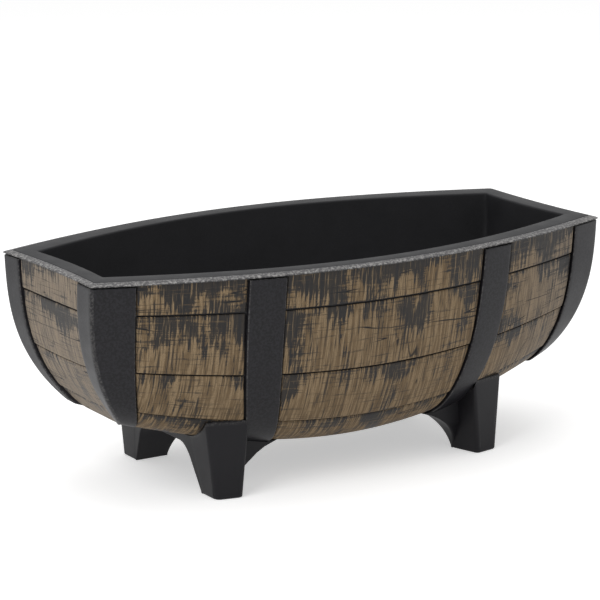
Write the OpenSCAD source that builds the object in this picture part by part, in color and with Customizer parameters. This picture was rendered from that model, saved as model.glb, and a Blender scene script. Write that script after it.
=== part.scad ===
// A plastic planter shaped like a barrel cut in half lengthwise: stave panels, corner bands and
// hoops on a hull, a rim with a lift-out liner, and two arched leg pieces. Millimetres, +X along
// the length, -Y towards the front, +Z up, origin on the floor under the middle.

/* [Overall] */
// Length over the rim
rim_len = 650; // [620:1:690]
// Width over the rim at its corners
rim_w_end = 211; // [204:1:225]
// Width over the rim at mid-length
rim_w_mid = 357; // [340:1:375]
// Height from the floor to the top of the rim
height = 254; // [248:1:266]
// Height of the belly above the floor at mid-length
belly_gap = 40; // [38:0.5:43]
// How much higher the belly is at its ends
belly_rise = 43; // [39:1:46]

/* [Hull] */
// How far the foot of each end is drawn in
end_tuck = 57; // [50:1:64]
// How late the ends draw in on the way down
tuck_power = 2.9; // [2.4:0.1:3.6]
// Squareness of the cross-section, where 2 is an ellipse
section_power = 2.8; // [2.5:0.1:3.2]
// Share of the width that the flat of the belly keeps
flat_share = 0.4; // [0.36:0.01:0.44]
// Lean of the walls at the ends, as a share of the width
lean_end = 0.115; // [0.1:0.005:0.13]
// Lean of the walls at mid-length, as a share of the width
lean_mid = 0.165; // [0.15:0.005:0.18]
// How straight the long sides run near their ends
side_straight = 0.09; // [0:0.01:0.15]
// Hollow of each end at the rim
end_hollow = 4; // [2:0.5:5]
// How far the middle of each end is drawn in further at its foot
end_bow = 14; // [10:1:18]
// How far the middle of each end hangs below its corners
end_sag = 10; // [6:1:12]

/* [Stave panels] */
// Thickness of the panels behind the grooves
panel_wall = 2.2; // [1.8:0.1:2.6]
// Depth of the grooves between staves
groove_deep = 2; // [1.4:0.1:2.4]
// Width of the grooves
groove_w = 2.6; // [2:0.1:3.4]
// How far each stave's lower edge stands out
stave_lip = 1.1; // [0.6:0.1:1.4]
// Width of the rolled edge beside a band
stave_roll = 3; // [2:0.5:4]
// Depth of the seats that the bands lie in
seat_deep = 1.5; // [1.2:0.1:1.8]

/* [Bands] */
// How far the bands stand out from the hull
band_proud = 3; // [2.4:0.1:3.6]
// Width of a corner band on the long side, at the rim
corner_w_side = 41; // [36:1:46]
// Width of a corner band on the end, at the rim
corner_w_end = 32; // [28:1:36]
// Share by which a corner band narrows towards its foot
corner_taper = 0.72; // [0.6:0.02:0.78]
// Width of a hoop at the rim
hoop_w = 40; // [34:1:44]
// Distance from the rim's end to the middle of a hoop, at the rim
hoop_end = 179; // [173:1:185]
// Gap between a band's top end and the rim
band_top_gap = 1.6; // [1:0.1:2.5]
// Gap between a stave's end and the band beside it
stave_end_gap = 1; // [0.6:0.1:1.6]

/* [Rim and liner] */
// Overhang of the rim past the hull
rim_over = 3.5; // [3.4:0.1:5]
// Thickness of the rim at its highest
rim_thick = 3.6; // [3.4:0.1:4.6]
// Height of the rim's upright outer edge
rim_edge = 1.2; // [0.9:0.1:1.5]
// Width of the rim's sloping outer strip
rim_strip = 8; // [6:0.5:9]
// Width of the whole rim, from its outer edge to the mouth
rim_w = 29; // [27:0.5:31]
// Width of the ledge that carries the liner
ledge_w = 12; // [10:0.5:13]
// Thickness of the ledge
ledge_t = 1.4; // [1.1:0.1:1.7]
// Thickness of the liner
liner_wall = 2.4; // [2:0.1:2.8]
// Height of the liner's floor above the ground
liner_floor = 80; // [76:1:84]
// Gap of the seam between rim and liner
seam_gap = 0.7; // [0.5:0.1:1]

/* [Legs] */
// Distance from the rim's end to a foot's outer side
foot_end = 142; // [136:1:148]
// Distance from the rim's side at mid-length to the middle of a foot's front
foot_side = 68.5; // [65:0.5:72]
// Width of a foot along the front
foot_w = 30; // [27:1:33]
// Depth of a foot
foot_depth = 36; // [33:1:39]
// How much further forward a foot's inner corner stands than its outer corner
foot_skew = 6; // [4:0.5:8]
// Height of the top of a leg's front face
leg_top = 88; // [84:1:92]
// How much further out a leg stands at its top
leg_lean = 9; // [6:1:12]
// How much further inboard a leg reaches at its top
leg_widen = 7; // [4:1:10]
// How far a leg's front stands out from the staves
leg_proud = 1.6; // [1.2:0.1:2.4]
// Distance of the arch's web behind a foot's front
web_back = 22; // [18:1:26]
// How far the web reaches inboard of a foot
web_in = 10; // [7:1:13]
// Length of the curve from the web to the belly
flare_len = 58; // [52:1:64]
// Height of the curve from the web to the belly
flare_top = 52; // [49:1:54]
// Half the width of the arch's level top
arch_flat = 36; // [32:1:40]
// Height up to which the arch's flanks are straight
arch_straight = 33; // [29:1:36]
// Distance across the bend from the arch's level top to a flank
arch_bend = 22; // [18:1:26]
// Thickness of the arch at its inner screws
arch_t = 4; // [3.5:0.25:5]

/* [Drains and screws] */
// Distance from mid-length to a drain
drain_x = 68; // [60:1:74]
// Diameter of a drain hole through the liner
drain_d = 18; // [14:0.5:20]
// Wall of the boss round a drain hole
boss_wall = 4; // [3:0.5:5]
// Length of the boss below the liner's floor
boss_len = 10; // [8:1:12]
// Clearance all round a plug in its hole
plug_fit = 0.05; // [0.02:0.01:0.09]
// Thickness of a plug's head
plug_head = 3; // [2.5:0.5:4]
// Length of a plug's pull tab
tab_len = 9; // [7:1:10]
// Width of the opening in the base pan
pan_open_w = 60; // [50:1:70]
// How far the base pan's opening runs past the drains
pan_open_past = 26; // [20:1:28]
// Thickness of the base pan
pan_t = 2.5; // [2.2:0.1:3]
// Distance from a foot's outer side to the outer screws
screw_in = 12; // [9:1:16]
// Distance between the outer and the inner screws
screw_pitch = 22; // [20:1:25]
// Distance from the centre line to the screws
screw_y = 22; // [18:1:25]
// Wall of the boss round a screw
screw_wall = 3; // [2:0.5:4]
// Diameter of a screw's shank
screw_d = 4; // [3:0.5:5]
// Diameter of a screw's head
screw_head_d = 8; // [7:0.5:9]
// Height of a screw's head
screw_head_h = 2.5; // [2:0.1:3]
// Length of a screw below its head
screw_len = 13; // [11:1:14]
// Clearance all round a screw
screw_fit = 0.3; // [0.2:0.05:0.4]

/* [Hidden] */

wood = [0.42, 0.35, 0.27];
black = [0.17, 0.17, 0.18];
steel = [0.62, 0.62, 0.64];

// Gap between pieces that lie against each other
seat_gap = 0.3;

hull_z = height - rim_thick - seat_gap;
hull_l = rim_len / 2 - rim_over;
hull_w_end = rim_w_end / 2 - rim_over;
hull_w_mid = rim_w_mid / 2 - rim_over;
depth_mid = hull_z - belly_gap;
hoop_x = rim_len / 2 - hoop_end;
foot_x = rim_len / 2 - foot_end;
foot_y = rim_w_mid / 2 - foot_side;
screw_x_out = foot_x - screw_in;
screw_x_in = screw_x_out - screw_pitch;

// The hull. t runs from 0 at the rim to 1 at the belly, s from -1 to 1 along the length, and d
// is how far a surface lies outside the hull.
function mix(a, b, f) = a + (b - a) * f;
function bulge(s) = 1 - (1 + side_straight) * s * s + side_straight * pow(s, 4);
function section(t) =
    flat_share + (1 - flat_share) * pow(max(0, 1 - pow(t, section_power)), 1 / section_power);
function half_len(t, d = 0) = hull_l + d - end_tuck * pow(t, tuck_power);
function half_wid(s, t, d = 0) =
    let (at_end = (hull_w_end + d) * (1 - lean_end * t), at_mid = (hull_w_mid + d) * (1 - lean_mid * t))
    mix(at_end, at_mid, bulge(s)) * section(t);
function depth(s, d = 0) = depth_mid + d - belly_rise * (1 - bulge(s));

// A point of the front side at x, of the left end at y, and of the belly at x and at a share u
// of its width
function side_at(x, t, d) =
    let (s = x / half_len(t)) [x, -half_wid(s, t, d), hull_z - t * depth(s, d)];
function end_at(y, t, d) =
    let (u = y / half_wid(1, t), b = 1 - u * u)
    [-half_len(t, d) + (end_hollow / 2 + end_bow * pow(t, 3)) * b, y,
     hull_z - t * (depth(1, d) + end_sag * b)];
function belly_len(u) = half_len(1) - (end_hollow / 2 + end_bow) * (1 - u * u);
function belly_at(x, u, d, inset = 0) =
    let (s = x / belly_len(u))
    [x, u * (half_wid(s, 1, d) - inset), hull_z - depth(s, d) - end_sag * (1 - u * u) * pow(s, 4)];

// Rows down a wall: [t, height of the stave surface]. Each stave rises from its groove to a
// proud lower lip, and the last one rolls under to the belly.
grooves = [0.188, 0.552, 0.842];
half_groove = groove_w / 2 / depth_mid;
edge_roll = 0.012;
wall_rows = concat(
    [[0, stave_lip], [grooves[0] - half_groove - edge_roll, stave_lip]],
    [[grooves[0] - half_groove, stave_lip / 2]],
    [for (k = [0, 1]) let (a = grooves[k] + half_groove, b = grooves[k + 1] - half_groove)
        each [[a, -groove_deep], [a + edge_roll, 0], [mix(a, b, 0.5), stave_lip / 2],
              [b - edge_roll, stave_lip], [b, stave_lip / 2]]],
    [[grooves[2] + half_groove, -groove_deep], [grooves[2] + half_groove + edge_roll, 0]],
    [for (v = [0.91, 0.958, 0.985]) [v, stave_lip / 3]], [[1, -seat_deep]]);

panel_in = -groove_deep - panel_wall;
band_in = seat_gap - seat_deep;
hoop_in_s = (hoop_x - hoop_w / 2) / hull_l;
hoop_out_s = (hoop_x + hoop_w / 2) / hull_l;
taper_power = 2.7;
function narrowing(t) = 1 - corner_taper * pow(t, taper_power);
function corner_x(t) = half_len(t) - corner_w_side * narrowing(t);
function corner_y(t) = half_wid(1, t) - corner_w_end * narrowing(t);

// A closed sheet between two equal grids of points, outer and inner. Rows run down and columns
// run to the right as seen from outside.
function quad(a, b, c, d) = [[a, b, c], [a, c, d]];
function flat(grid) = [for (row = grid) each row];
module sheet(outer, inner) {
    m = len(outer);
    n = len(outer[0]);
    k = m * n;
    polyhedron(points = concat(flat(outer), flat(inner)), convexity = 10, faces = concat(
        [for (j = [0:n - 2]) let (p = k - n + j) each quad(p, p + 1, k + p + 1, k + p)],
        [for (i = [0:m - 2], j = [0:n - 2]) let (p = i * n + j) each quad(p, p + 1, p + n + 1, p + n)],
        [for (i = [0:m - 2], j = [0:n - 2]) let (p = k + i * n + j) each quad(p, p + n, p + n + 1, p + 1)],
        [for (j = [0:n - 2]) each quad(j, k + j, k + j + 1, j + 1)],
        [for (i = [0:m - 2]) let (p = i * n) each quad(p, p + n, k + p + n, k + p)],
        [for (i = [0:m - 2]) let (p = i * n + n - 1) each quad(p, k + p, k + p + n, p + n)]));
}

// A closed loft through equal sections, each a closed loop of points, where the loops run
// anticlockwise and rise. A ladder cap joins a section's first half to its second half, or
// closed joins the last section to the first.
module loft(sections, closed = false) {
    m = len(sections);
    n = len(sections[0]);
    half = floor(n / 2);
    last = (m - 1) * n;
    polyhedron(points = flat(sections), convexity = 10, faces = concat(
        [for (i = [0:(closed ? m - 1 : m - 2)], j = [0:n - 1])
            let (p = i * n, q = ((i + 1) % m) * n, k = (j + 1) % n) each quad(q + j, q + k, p + k, p + j)],
        closed ? [] : [for (j = [0:half - 2]) each quad(j, j + 1, n - 2 - j, n - 1 - j)],
        closed ? [] : [for (j = [0:half - 2])
            each quad(last + n - 1 - j, last + n - 2 - j, last + j + 1, last + j)]));
}

// Stave panels
function side_stops(t) =
    let (h = half_len(t), a = hoop_in_s * h, b = hoop_out_s * h, c = corner_x(t),
         g = stave_end_gap, r = stave_roll)
    [[a * 0.5, 1], [a - g - r, 1], [a - g, 0], [b + g, 0], [b + g + r, 1],
     [(b + c) / 2, 1], [c - g - r, 1], [c - g, 0], [half_len(t, side_end(t)), 0]];
// A side panel runs out to the end panel's face, and stops short of the end panel at the belly.
side_stop = 10;
side_stop_power = 20;
function side_end(t) = mix(-seat_deep, -side_stop, pow(t, side_stop_power));
function side_columns(t) =
    let (p = side_stops(t), n = len(p))
    concat([for (k = [n - 1:-1:0]) [-p[k][0], p[k][1]]], [[0, 1]], p);
function end_columns(t) =
    let (c = corner_y(t) - stave_end_gap, e = half_wid(1, t, panel_in) - seat_gap)
    [[e, -1], [c, 0], [c - stave_roll, 1], [c * 0.66, 1], [c * 0.22, 1],
     [-c * 0.22, 1], [-c * 0.66, 1], [stave_roll - c, 1], [-c, 0], [-e, -1]];
// A share of -1 marks an end panel's edge, which thins where it meets the side panels.
function end_height(high, share) = share < 0 ? panel_in + seat_gap : mix(-seat_deep, high, share);

module side_panel() {
    color(wood) sheet(
        [for (r = wall_rows)
            [for (c = side_columns(r[0])) side_at(c[0], r[0], mix(-seat_deep, r[1], c[1]))]],
        [for (r = wall_rows) [for (c = side_columns(r[0])) side_at(c[0], r[0], panel_in)]]);
}

module end_panel() {
    color(wood) sheet(
        [for (r = wall_rows) [for (c = end_columns(r[0])) end_at(c[0], r[0], end_height(r[1], c[1]))]],
        [for (r = wall_rows) [for (c = end_columns(r[0])) end_at(c[0], r[0], panel_in)]]);
}

// Bands. A corner band is an angle strip: up the end face, round the corner and along the side.
band_rows = concat([band_top_gap / depth_mid], [for (k = [1:len(wall_rows) - 1]) wall_rows[k][0]]);
band_bevel = 1;
function corner_point(t, d) = side_at(-half_len(t, d), t, d);
function corner_row(t, d, edge) =
    let (x = corner_x(t), y = corner_y(t), c = corner_point(t, d), b = band_bevel)
    [end_at(-y, t, edge), end_at(-y - b, t, d), end_at(c[1] + 2 * b, t, d), c,
     side_at(c[0] + 2 * b, t, d), side_at(-x - b, t, d), side_at(-x, t, edge)];

module corner_band() {
    color(black) sheet([for (t = band_rows) corner_row(t, band_proud, band_proud - band_bevel)],
                       [for (t = band_rows) corner_row(t, band_in, band_in)]);
}

// A hoop runs down the front, under the belly and up the back. grow widens and thickens it.
function strap_row(v, d, edge, grow) =
    let (t = min(1, 2 - abs(v)), h = half_len(t), a = -hoop_out_s * h - grow, b = -hoop_in_s * h + grow,
         e = band_bevel,
         back = v > 0 ? -1 : 1, on_wall = abs(v) >= 1,
         f = function(x, k)
             on_wall ? let (p = side_at(x, t, k)) [p[0], back * p[1], p[2]] : belly_at(x, v, k))
    [f(a, edge), f(a + e, d), f(b - e, d), f(b, edge)];
strap_path = concat([for (t = band_rows) t - 2], [-0.5, 0, 0.5],
                    [for (k = [len(band_rows) - 1:-1:0]) 2 - band_rows[k]]);

module strap(outer, inner, grow, bevel) {
    sheet([for (v = strap_path) strap_row(v, outer, outer - bevel, grow)],
          [for (v = strap_path) strap_row(v, inner, inner, grow)]);
}

module hoop() { color(black) strap(band_proud, band_in, 0, band_bevel); }

// Rim and liner. A loop goes once round the planter, inset from the rim's outer edge.
side_steps = 16;
end_steps = 4;
along = [for (k = [0:side_steps - 1]) mix(-1, 1, k / side_steps)];
across = [for (k = [0:end_steps - 1]) mix(-1, 1, k / end_steps)];
function rim_loop(inset, z) =
    let (half_x = rim_len / 2 - inset, half_y = rim_w_end / 2 - inset)
    concat([for (s = along) [s * half_x, -rim_side(s, inset), z]],
           [for (u = across) [rim_end(u, inset), u * half_y, z]],
           [for (s = along) [-s * half_x, rim_side(s, inset), z]],
           [for (u = across) [-rim_end(u, inset), -u * half_y, z]]);
function rim_side(s, inset) = rim_w_end / 2 - inset + (rim_w_mid - rim_w_end) / 2 * bulge(s);
function rim_end(u, inset) = rim_len / 2 - inset - end_hollow * (1 - u * u);

rim_bottom = height - rim_thick;
ledge_z = rim_bottom + ledge_t;
module rim_frame() {
    ledge_in = rim_strip + ledge_w;
    color(black) loft([for (p = [[0, rim_bottom], [0, rim_bottom + rim_edge], [rim_strip, height],
                                 [rim_strip, ledge_z], [ledge_in, ledge_z], [ledge_in, rim_bottom]])
                       rim_loop(p[0], p[1])], closed = true);
}

// The liner hangs by its flange and follows the hull at a steady distance down to a level floor.
liner_in = rim_w - rim_over;
flange_top = height - seat_gap;
flange_under = 4;
flange_lap = 0.5;
liner_rows = [0.12, 0.3, 0.5, 0.68, 0.81, 0.9, 0.96, 0.99, 1];
function wall_pt(s, t, d) = [s * half_len(t, d), -half_wid(s, t, d), hull_z - t * depth(s, d)];
function cap_pt(u, t, d) =
    let (b = 1 - u * u)
    [half_len(t, d) - (end_hollow + end_bow * pow(t, 3)) * b, u * half_wid(1, t, d),
     hull_z - t * depth(1, d)];
function half_turn(p) = [-p[0], -p[1], p[2]];
function liner_loop(t, d) =
    let (front = [for (s = along) wall_pt(s, t, d)], right = [for (u = across) cap_pt(u, t, d)])
    concat(front, right, [for (p = front) half_turn(p)], [for (p = right) half_turn(p)]);

// A closed solid through loops that go down, with a cap of rungs from the front to the back
function rungs() = let (a = side_steps, b = end_steps, n = 2 * (a + b)) concat(
    [for (k = [0:a - 1]) each quad(k, k + 1, 2 * a + b - k - 1, 2 * a + b - k)],
    [for (k = [1:b - 1]) [a, a + k, a + k + 1]],
    [for (k = [1:b - 1]) [2 * a + b, 2 * a + b + k, (2 * a + b + k + 1) % n]]);
module ring_solid(loops) {
    n = len(loops[0]);
    m = len(loops);
    polyhedron(points = flat(loops), convexity = 10, faces = concat(
        [for (i = [0:m - 2], j = [0:n - 1]) let (k = (j + 1) % n, p = i * n)
            each quad(p + j, p + k, p + n + k, p + n + j)],
        [for (f = rungs()) [f[2], f[1], f[0]]],
        [for (f = rungs()) [for (v = f) v + (m - 1) * n]]));
}

// The space inside the tub, or its outside, from a mouth at top_z down to a level floor
module tub(d, top_z, floor_z) {
    intersection() {
        ring_solid(concat([rim_loop(rim_over - d, top_z)], [for (t = liner_rows) liner_loop(t, d)]));
        translate([-rim_len, -rim_w_mid, floor_z]) cube([2 * rim_len, 2 * rim_w_mid, height]);
    }
}

module at_drains() { for (x = [-drain_x, drain_x]) translate([x, 0, 0]) children(); }

boss_z = liner_floor - liner_wall - boss_len;
module liner_tub() {
    color(black) difference() {
        union() {
            tub(liner_wall - liner_in, ledge_z + seat_gap, liner_floor - liner_wall);
            loft([for (p = [[rim_strip + seam_gap, ledge_z + seat_gap], [rim_strip + seam_gap, flange_top],
                            [rim_w + flange_lap, flange_top], [rim_w + flange_lap, ledge_z - flange_under],
                            [rim_w - liner_wall, ledge_z - flange_under],
                            [rim_w - liner_wall, ledge_z + seat_gap]])
                  rim_loop(p[0], p[1])], closed = true);
            at_drains() translate([0, 0, boss_z])
                cylinder(h = boss_len + 1, d = drain_d + 2 * boss_wall, $fn = 64);
        }
        tub(-liner_in, height + 1, liner_floor);
        at_drains() translate([0, 0, boss_z - 1])
            cylinder(h = boss_len + liner_wall + 2, d = drain_d, $fn = 64);
    }
}

// A plug is pushed up into a drain boss from below and has a pull tab under its head.
module drain_plug() {
    head_z = boss_z - seat_gap - plug_head;
    color(black) union() {
        translate([0, 0, head_z + plug_head - 1])
            cylinder(h = boss_len + liner_wall + seat_gap + 1, d = drain_d - 2 * plug_fit, $fn = 64);
        translate([0, 0, head_z]) cylinder(h = plug_head, d = drain_d + 2 * boss_wall - 2, $fn = 64);
        translate([-drain_d / 3, -1.5, head_z - tab_len]) cube([drain_d * 2 / 3, 3, tab_len + 1]);
    }
}

// The base pan closes the belly between the feet of the panels, with seats for the hoops, one
// opening under the drains and a boss over each screw.
function belly_z(x) = belly_at(x, 0, 0)[2];
arch_z = belly_z(screw_x_in) - arch_t;
boss_top = arch_z + screw_len + 2;
pan_rows = [for (k = [-4:4]) k / 4];
pan_inset = half_wid(0, 1, 0) - half_wid(0, 1, panel_in) + seat_gap;
pan_share = 1 - pan_inset / half_wid(1, 1);
// A hoop's seat in the pan starts pan_clear beside the hoop and ends its slope at pan_step.
pan_clear = 0.6;
pan_step = 1;
function pan_stops(u) =
    let (a = hoop_in_s * half_len(1), b = hoop_out_s * half_len(1),
         c = belly_len(u * pan_share) + panel_in - 2 * seat_gap)
    [[a / 2, 1], [a - pan_step, 1], [a - pan_clear, 0],
     [b + pan_clear, 0], [b + pan_step, 1], [(b + c) / 2, 1], [c, 1]];
function pan_columns(u) =
    let (p = pan_stops(u), n = len(p)) concat([for (k = [n - 1:-1:0]) [-p[k][0], p[k][1]]], [[0, 1]], p);
function pan_point(c, u, d) = belly_at(c[0], u, d, pan_inset);

module at_screws() {
    for (x = [screw_x_in, screw_x_out], y = [-screw_y, screw_y]) {
        $screw_x = x;
        translate([x, y, 0]) children();
    }
}

module screw_bores(len) {
    at_screws() translate([0, 0, arch_z - 1]) cylinder(h = len, d = screw_d + 2 * screw_fit, $fn = 32);
}

module base_pan() {
    color(black) difference() {
        union() {
            sheet([for (u = pan_rows) [for (c = pan_columns(u)) pan_point(c, u, mix(-seat_deep, 0, c[1]))]],
                  [for (u = pan_rows) [for (c = pan_columns(u)) pan_point(c, u, -seat_deep - pan_t)]]);
            for (side = [-1, 1]) scale([side, 1, 1]) at_screws() {
                base = belly_z($screw_x) + (seat_deep + pan_t) / 2;
                translate([0, 0, base])
                    cylinder(h = boss_top - base, d = screw_d + 2 * (screw_fit + screw_wall), $fn = 32);
            }
        }
        translate([-drain_x - pan_open_past, -pan_open_w / 2, 0])
            cube([2 * (drain_x + pan_open_past), pan_open_w, height / 2]);
        for (side = [-1, 1]) scale([side, 1, 1]) screw_bores(screw_len + 2);
    }
}

// The belly as a solid, to cut what lies against it from outside
block_s = [for (k = [0:10]) mix(-0.92, -0.14, k / 10)];
block_t = [0.72, 0.8, 0.86, 0.91, 0.95, 0.98, 0.993, 1];
module belly_block(d) {
    loft([for (s = block_s) let (x = s * half_len(1)) concat(
        [for (t = block_t) side_at(x, t, d)], [for (u = [-0.6, -0.2, 0.2, 0.6]) belly_at(x, u, d)],
        [for (k = [len(block_t) - 1:-1:0]) let (p = side_at(x, block_t[k], d)) [p[0], -p[1], p[2]]])]);
}

// A leg arch is one moulding: a front and a back leg joined by an arched saddle under the belly.
function wall_y(x, z, d) =
    let (t = (hull_z - z) / depth(x / half_len(grooves[2]))) half_wid(x / half_len(t), t, d);
function bend(a, b, c, f) = mix(mix(a, b, f), mix(b, c, f), f);
foot_in = foot_x - foot_w;
foot_back = foot_y - foot_depth;
top_out = foot_x + leg_lean;
top_in = foot_in - leg_widen;
module leg() {
    y_out = wall_y(top_out, leg_top, leg_proud);
    y_in = wall_y(top_in, leg_top, leg_proud);
    turn = foot_skew / 2;
    loft([[[-foot_x, turn - foot_y, 0], [-foot_in, -turn - foot_y, 0],
           [web_in - foot_in, -foot_back, 0], [-foot_x, -foot_back, 0]],
          [[-top_out, -y_out, leg_top], [-top_in, -y_in, leg_top],
           [web_in - top_in, -y_in / 2, leg_top], [-top_out, -y_in / 2, leg_top]]]);
}

// The arch's outline across the planter, mirrored from its +Y half, and its web's outline along it
web_toe = 3;
bend_steps = 5;
module arch() {
    flank_y = arch_flat + arch_bend;
    corner_y = foot_back - arch_z * (foot_back - flank_y) / arch_straight;
    web_y = foot_y - web_back;
    half = concat(
        [[web_y, leg_top], [web_y, arch_straight], [foot_back + web_toe, 0], [foot_back, 0]],
        [for (k = [0:bend_steps])
            bend([flank_y, arch_straight], [corner_y, arch_z], [arch_flat, arch_z], k / bend_steps)]);
    flare_x = foot_in - web_in - flare_len;
    reach = top_out - hoop_in_s * half_len(0.9);
    intersection() {
        translate([-top_out, -height, 0]) cube([reach, 2 * height, leg_top]);
        rotate([90, 0, 90]) translate([0, 0, -height]) linear_extrude(height)
            polygon(concat(half, [for (k = [len(half) - 1:-1:0]) [-half[k][0], half[k][1]]]));
        rotate([90, 0, 0]) translate([0, 0, -height]) linear_extrude(2 * height) polygon(concat(
            [[-top_out, leg_top], [-foot_x, 0]],
            [for (a = [0:10:90]) [-flare_x - flare_len * cos(a), flare_top * sin(a)]],
            [[arch_flat - flare_x, flare_top], [arch_flat - flare_x, leg_top]]));
    }
}

module leg_arch() {
    color(black) difference() {
        union() {
            leg();
            mirror([0, 1, 0]) leg();
            arch();
        }
        belly_block(stave_lip / 2 + seat_gap);
        strap(band_proud + seat_gap, -seat_deep, seat_gap, 0);
        mirror([1, 0, 0]) screw_bores(leg_top);
    }
}

module arch_screws() {
    color(steel) at_screws() {
        translate([0, 0, arch_z - screw_head_h]) cylinder(h = screw_head_h, d = screw_head_d, $fn = 32);
        translate([0, 0, arch_z - 1]) cylinder(h = screw_len + 1, d = screw_d, $fn = 32);
    }
}

side_panel();  // front_stave_panel
mirror([0, 1, 0]) side_panel();  // back_stave_panel
end_panel();  // left_end_panel
mirror([1, 0, 0]) end_panel();  // right_end_panel
corner_band();  // front_left_corner_band
mirror([1, 0, 0]) corner_band();  // front_right_corner_band
mirror([0, 1, 0]) corner_band();  // back_left_corner_band
rotate([0, 0, 180]) corner_band();  // back_right_corner_band
hoop();  // left_hoop
mirror([1, 0, 0]) hoop();  // right_hoop
rim_frame();
liner_tub();
base_pan();
leg_arch();  // left_leg_arch
mirror([1, 0, 0]) leg_arch();  // right_leg_arch
mirror([1, 0, 0]) arch_screws();  // left_arch_screws
arch_screws();  // right_arch_screws
translate([-drain_x, 0, 0]) drain_plug();  // left_drain_plug
translate([drain_x, 0, 0]) drain_plug();  // right_drain_plug
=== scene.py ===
"""Looks of the plastic half barrel planter: dry-brushed stave panels, satin black bands, hoops, rim
and legs, and the liner inside. Every piece is worked out with numpy in metres, in the frame's axes:
origin on the floor under the middle, +X along the length, -Y to the front, +Z up."""

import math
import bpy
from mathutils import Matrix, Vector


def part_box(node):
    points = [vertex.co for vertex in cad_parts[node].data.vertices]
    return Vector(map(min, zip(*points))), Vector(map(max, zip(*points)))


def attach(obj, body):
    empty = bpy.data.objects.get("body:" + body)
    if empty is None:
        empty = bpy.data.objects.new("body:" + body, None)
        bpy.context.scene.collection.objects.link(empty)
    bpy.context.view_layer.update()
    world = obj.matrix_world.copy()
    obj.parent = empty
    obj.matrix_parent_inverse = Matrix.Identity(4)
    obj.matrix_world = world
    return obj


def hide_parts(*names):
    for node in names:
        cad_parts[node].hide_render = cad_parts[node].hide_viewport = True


bl_info = {
    "name": "Half Barrel Planter",
    "version": (1, 0, 0),
    "blender": (4, 5, 0),
    "location": "View3D > Sidebar > Planter",
    "description": "Builds the painted staves, bands, rim, liner and legs of a half barrel planter",
    "category": "Object",
}

import bpy
import numpy as np
from bpy.props import FloatProperty, FloatVectorProperty, PointerProperty
from mathutils import Matrix

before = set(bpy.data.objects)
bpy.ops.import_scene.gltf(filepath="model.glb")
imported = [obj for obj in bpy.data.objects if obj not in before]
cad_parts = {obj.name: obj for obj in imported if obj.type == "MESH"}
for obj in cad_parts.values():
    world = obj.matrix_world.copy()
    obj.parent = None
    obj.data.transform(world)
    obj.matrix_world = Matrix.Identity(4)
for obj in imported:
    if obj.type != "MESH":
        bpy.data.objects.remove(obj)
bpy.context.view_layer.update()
RIM_LOW, RIM_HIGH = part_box("rim_frame")
STAVES_LOW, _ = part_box("front_stave_panel")
FLOOR_GLOW = 0.45
WHITE = (1, 1, 1, 1)
QUARTER = math.pi / 2
# Halvings of a range in which a value is looked for
HALVINGS = 24
# Passes in which heights and the places that depend on them come to agree
PASSES = 8
# Angle between faces, in degrees, past which an edge is drawn sharp
SHARP = 50
# Rows and columns of a stave panel's face for each one of its back
COARSE = 4
# Painted sheen: how grey the paint is made on the end panels, and towards the front panel's right end
# The grey stands in for the white surround's reflection on faces seen at a slant
PAINTED_SHEEN_ENDS = 0.5
PAINTED_SHEEN_SIDE = 0.45


def length(name, default, text):
    """A size in metres that a user may change."""
    return FloatProperty(name=name, description=text, default=default, min=0, unit="LENGTH", precision=4)


def share(name, default, text):
    """A number without a unit that a user may change."""
    return FloatProperty(name=name, description=text, default=default, min=0, precision=3)


def finish(name, srgb, text):
    """A colour that a user may change, written as 0 to 255 and kept as linear light."""
    c = np.array(srgb) / 255
    value = np.where(c <= 0.04045, c / 12.92, ((c + 0.055) / 1.055) ** 2.4).tolist()
    return FloatVectorProperty(name=name, description=text, default=value, subtype="COLOR", min=0, max=1)


def xyz(x, y, z):
    """Points from their coordinates, each of which may be a number or an array."""
    return np.stack(np.broadcast_arrays(x, y, z), axis=-1)


def mix(a, b, f):
    """The value a share f of the way from a to b."""
    return a + (b - a) * f


def bend(a, b, c, q):
    """A quadratic curve from a to c, drawn towards b, at shares q."""
    return mix(mix(a, b, q), mix(b, c, q), q)


def smooth(low, high, value):
    """0 up to low, 1 from high, and 3q^2 - 2q^3 of the share q between them."""
    q = np.clip((value - low) / (high - low), 0, 1)
    return q * q * (3 - 2 * q)


def lattice_noise(u, v, seed):
    """Random heights from 0 to 1 at whole-number points, blended by smooth steps between them."""
    cells = 256
    heights = np.random.default_rng(seed).random((cells, cells))
    i, j = np.floor(u).astype(int), np.floor(v).astype(int)
    a, b = smooth(0, 1, u - i), smooth(0, 1, v - j)
    i, j, i2, j2 = i % cells, j % cells, (i + 1) % cells, (j + 1) % cells
    return mix(mix(heights[i, j], heights[i2, j], a), mix(heights[i, j2], heights[i2, j2], a), b)


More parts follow.
